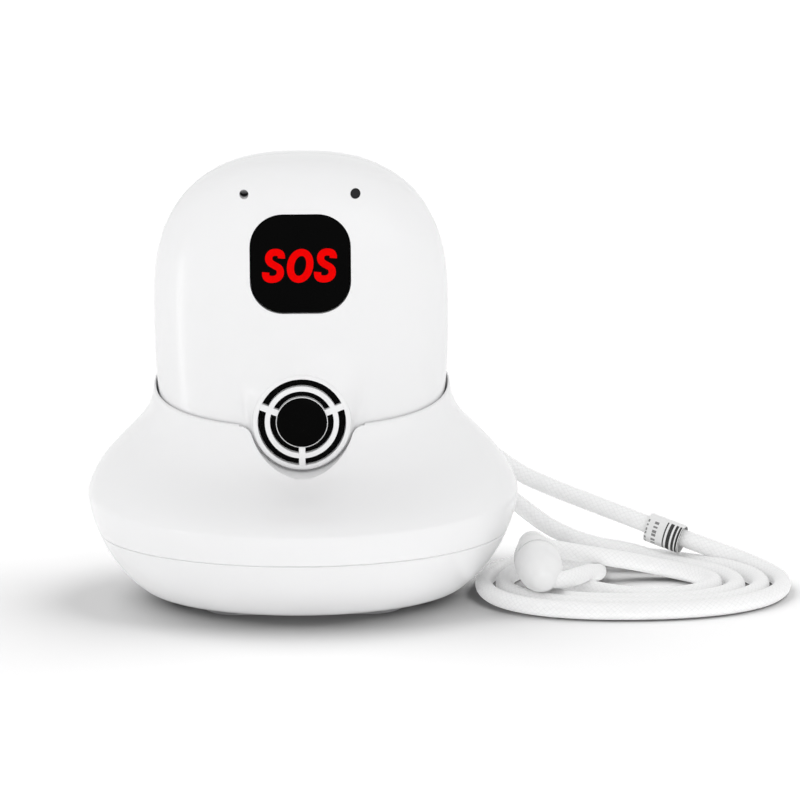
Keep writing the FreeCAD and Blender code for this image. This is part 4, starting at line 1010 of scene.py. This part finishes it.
class ALERT_OT_cradle(bpy.types.Operator):
    """Upper and lower shells of the charging cradle, and the rubber pad under it"""
    bl_idname = "alert.cradle"
    bl_label = "Charging cradle"

    def execute(self, context):
        case = context.scene.alert_case
        white = shell_plastic("shell_white_cradle", case.shell_colour, case.shell_gloss)
        gap = case.parting_gap * 1000.0
        top = carved(object_of("cradle_upper", upper_shell(gap)), [rim_notch()])
        finished(top, white, "cradle", ("cradle_upper_shell",))
        cutters = [moved(rod(SHELL_SCREW_WELL, SHELL_SCREW_DEPTH, 32), Matrix.Translation((x, y, 0.0)))
                   for x, y in SHELL_SCREW_PLACES]
        cutters.append(moved(round_box(*SOCKET_OPENING, OPENING_DEPTH), facing_front(*SOCKET_PLACE)))
        bottom = carved(object_of("cradle_lower", lower_shell(gap)), cutters)
        finished(bottom, white, "cradle", ("cradle_lower_shell",))
        pad = soften(round_box(*PAD_SIZE, PAD_THICK), PAD_EDGE, 3)
        grey = rubber("pad_rubber", (0.27, 0.27, 0.275, 1.0))
        finished(object_of("foot_rubber", pad), grey, "cradle", ("foot_pad",))
        return {"FINISHED"}


class ALERT_OT_clasp(bpy.types.Operator):
    """Two halves of the breakaway clasp, and the label on the cord"""
    bl_idname = "alert.clasp"
    bl_label = "Clasp and label"

    def execute(self, context):
        way = Vector(CLASP_REAR) - Vector(CLASP_FRONT)
        axis = Matrix.Translation(CLASP_FRONT) @ way.to_track_quat("Z", "Y").to_matrix().to_4x4()
        whole = way.length
        plastic = smooth_plastic("clasp_plastic", (0.85, 0.85, 0.85, 1.0), 0.38)
        plug = lathe([(0.0, -0.2), (0.5, -0.17), (1.0, -0.05), (1.4, 0.15), (1.72, 0.45), (1.95, 0.85),
                      (2.3, 1.5), (2.8, 2.6), (3.2, 4.0), (3.42, 5.7), (3.48, 7.4), (3.46, 8.45),
                      (3.36, 8.66), (3.1, 8.7), (1.5, 8.7), (1.5, 13.0), (0.0, 13.1)], 72)
        cup = lathe([(1.56, 9.0), (3.15, 9.0), (3.4, 9.05), (3.5, 9.25), (3.42, 10.4), (3.15, 12.0),
                     (2.75, 13.4), (2.45, 14.0), (2.3, 14.12), (2.25, 14.3), (2.28, 15.2), (2.15, 16.5),
                     (1.9, whole - 0.8), (1.5, whole - 0.3), (0.9, whole - 0.05), (0.0, whole),
                     (0.0, 13.6), (1.56, 13.5), (1.56, 9.0)], 72)
        for name, shape, node in (("clasp_cap", plug, "clasp_plug"),
                                  ("clasp_cup", cup, "clasp_socket")):
            finished(object_of(name, moved(shape, axis)), plastic, "cradle", (node,))

        above, below = [Vector(REAR_CORD[i]) for i in LABEL_BETWEEN]
        along = (below - above).normalized()
        side = along.cross(Vector((0, 0, 1))).normalized()
        up = side.cross(along).normalized()
        centre = below - up * LABEL_DROP

        def wrap(around, level):
            share, grow = level
            angle = 2.0 * math.pi * around
            return (centre + along * (share - 0.5) * LABEL_LENGTH
                    + side * math.cos(angle) * (LABEL_HALF[0] + grow)
                    + up * math.sin(angle) * (LABEL_HALF[1] + grow))

        levels = LABEL_END + [(share, LABEL_BULGE) for share in spaced(0.06, 0.94, 8)]
        levels += [(1.0 - share, grow) for share, grow in reversed(LABEL_END)]
        paper = card_print("label_card", (0.82, 0.82, 0.82, 1.0), (0.02, 0.02, 0.02, 1.0))
        label = object_of("cord_label", skin(LABEL_COLUMNS, levels, wrap))
        finished(label, paper, None, ("label_sleeve",))
        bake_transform(label)
        return {"FINISHED"}


class ALERT_OT_neck_cords(bpy.types.Operator):
    """Two braided lengths of neck cord, from the bail through the coil to the clasp"""
    bl_idname = "alert.neck_cords"
    bl_label = "Neck cords"

    def execute(self, context):
        settings = context.scene.alert_cord
        white = braid("cord_braid", settings.colour, settings.carriers)
        lay_cord("neck_cord_rear", REAR_CORD, settings.width, white,
                 ("neck_cord_right", "cord_coil", "clasp_tail_plug"))
        lay_cord("neck_cord_front", FRONT_CORD, settings.width, white,
                 ("neck_cord_left", "clasp_tail_socket"))
        return {"FINISHED"}


class ALERT_OT_inner_parts(bpy.types.Operator):
    """Materials of the boards, battery, switch, speaker, contacts and fasteners inside"""
    bl_idname = "alert.inner_parts"
    bl_label = "Inner parts"

    def execute(self, context):
        looks = (
            (brushed_metal("plated_steel", (0.55, 0.55, 0.56, 1.0), 0.25),
             ("shell_screws", "case_screws", "usb_socket_shell", "contact_springs", "lanyard_bail",
              "microphone", "speaker_magnet", "radio_module", "vibration_motor")),
            (brushed_metal("gold_plate", (0.83, 0.62, 0.24, 1.0), 0.18),
             ("contact_pins", "charge_pads")),
            (brushed_metal("cast_steel_plate", (0.32, 0.32, 0.33, 1.0), 0.45), ("ballast_plate",)),
            (brushed_metal("battery_foil", (0.6, 0.61, 0.63, 1.0), 0.35), ("battery",)),
            (circuit_board("board_green", (0.012, 0.09, 0.04, 1.0)), ("charge_board", "main_board")),
            (rubber("foam_grey_pad", (0.12, 0.12, 0.125, 1.0)),
             ("case_seal", "battery_pad", "microphone_boot")),
            (smooth_plastic("moulded_black", (0.018, 0.018, 0.019, 1.0), 0.45),
             ("contact_block", "usb_tongue", "tact_switch", "speaker_frame", "sim_holder")),
            (smooth_plastic("cone_paper", (0.03, 0.03, 0.03, 1.0), 0.7), ("speaker_cone",)),
            (smooth_plastic("fired_ceramic", (0.62, 0.58, 0.5, 1.0), 0.5), ("antenna_patch",)),
            (smooth_plastic("card_plastic", (0.75, 0.76, 0.78, 1.0), 0.35), ("sim_card",)),
            (smooth_plastic("led_lens", (0.8, 0.78, 0.5, 1.0), 0.3), ("status_led",)),
            (smooth_plastic("light_guide", (0.012, 0.012, 0.013, 1.0), 0.12, Specular_IOR_Level=0.2),
             ("light_pipe",)),
        )
        for material, nodes in looks:
            for node in nodes:
                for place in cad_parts[node].material_slots:
                    place.material = material
        return {"FINISHED"}


class ALERT_OT_stage(bpy.types.Operator):
    """Floor, soft lights and camera"""
    bl_idname = "alert.stage"
    bl_label = "Stage"

    def execute(self, context):
        scene = context.scene
        settings = scene.alert_stage
        shape = bmesh.new()
        bmesh.ops.create_grid(shape, x_segments=2, y_segments=2, size=30000.0)
        floor = object_of("floor", shape)
        floor.data.materials.append(floor_paint())

        scene.world = studio_world(settings)
        floor_only = bpy.data.collections.new("lit_floor_only")
        floor_only.objects.link(floor)
        not_floor = bpy.data.collections.new("lit_all_but_floor")
        not_floor.objects.link(floor)
        not_floor.collection_objects[0].light_linking.link_state = "EXCLUDE"
        aim = Vector(settings.aim)

        def lamp(name, kind, strength, towards, **form):
            """Lamp on the side of the aim that towards names, that far away, turned to the aim."""
            light = bpy.data.lights.new(name, kind)
            light.energy = strength
            for setting, value in form.items():
                setattr(light, setting, value)
            holder = bpy.data.objects.new(name, light)
            holder.location = aim + Vector(towards)
            holder.rotation_euler = Vector(towards).to_track_quat("Z", "Y").to_euler()
            scene.collection.objects.link(holder)
            return holder

        def sun(name, strength, towards):
            return lamp(name, "SUN", strength, towards, angle=math.radians(60.0))

        def softbox(name, power, towards, width, height):
            return lamp(name, "AREA", power, towards, shape="RECTANGLE", size=width, size_y=height)

        for name, side in (("floor_light_right", 0.8), ("floor_light_left", -0.8)):
            overhead = sun(name, settings.floor_light, (side, 0.3, 1.0))
            overhead.light_linking.receiver_collection = floor_only
        bounce = sun("bounce", settings.bounce_light, (0.05, 0.0, -1.0))
        front_bounce = softbox("front_bounce", settings.bounce_power, (-0.005, -0.015, -0.075),
                               0.2, 0.02)
        front_bounce.visible_glossy = False
        strip = softbox("strip", settings.strip_power, (-0.60, -0.42, -0.17), 0.07, 0.30)
        strip.data.cycles.use_multiple_importance_sampling = False
        for low in (bounce, front_bounce, strip):
            low.light_linking.receiver_collection = not_floor
            low.light_linking.blocker_collection = not_floor
        softbox("key", settings.key_power, (0.30, -0.90, 0.04), 0.6, 0.5)

        lens = bpy.data.cameras.new("camera")
        lens.lens = settings.lens
        lens.sensor_width = 36.0
        camera = bpy.data.objects.new("camera", lens)
        back = Vector((0.0, -math.cos(settings.camera_elevation), math.sin(settings.camera_elevation)))
        turn = (-back).to_track_quat("-Z", "Y").to_matrix().to_4x4()
        camera.matrix_world = (Matrix.Translation(aim + back * settings.camera_distance) @ turn
                               @ Matrix.Rotation(settings.camera_roll, 4, "Z"))
        scene.collection.objects.link(camera)
        scene.camera = camera
        scene.view_settings.view_transform = "Standard"
        return {"FINISHED"}


# ---- panel and registration -----------------------------------------------------------------

class ALERT_PT_panel(bpy.types.Panel):
    """Sizes, colours and pieces of the alert pendant"""
    bl_label = "Alert pendant"
    bl_idname = "ALERT_PT_panel"
    bl_space_type = "VIEW_3D"
    bl_region_type = "UI"
    bl_category = "Alert pendant"

    def draw(self, context):
        for owner in GROUPS:
            group = getattr(context.scene, owner)
            box = self.layout.box()
            for name in group.__annotations__:
                box.prop(group, name)
        for operator in OPERATORS:
            self.layout.operator(operator.bl_idname)


OPERATORS = (ALERT_OT_stage, ALERT_OT_clasp, ALERT_OT_neck_cords, ALERT_OT_pendant_case,
             ALERT_OT_speaker_grille, ALERT_OT_call_button, ALERT_OT_bail, ALERT_OT_cradle,
             ALERT_OT_inner_parts)
GROUPS = {"alert_case": CaseSettings, "alert_cord": CordSettings, "alert_stage": StageSettings}
CLASSES = (*GROUPS.values(), *OPERATORS, ALERT_PT_panel)


def register():
    for cls in CLASSES:
        bpy.utils.register_class(cls)
    for name, group in GROUPS.items():
        setattr(bpy.types.Scene, name, bpy.props.PointerProperty(type=group))


def unregister():
    for name in GROUPS:
        delattr(bpy.types.Scene, name)
    for cls in reversed(CLASSES):
        bpy.utils.unregister_class(cls)


def main():
    register()
    bpy.ops.alert.stage()
    bpy.ops.alert.clasp()
    bpy.ops.alert.neck_cords()
    bpy.ops.alert.pendant_case()
    bpy.ops.alert.speaker_grille()
    bpy.ops.alert.call_button()
    bpy.ops.alert.bail()
    bpy.ops.alert.cradle()
    bpy.ops.alert.inner_parts()


if __name__ == "__main__":
    main()
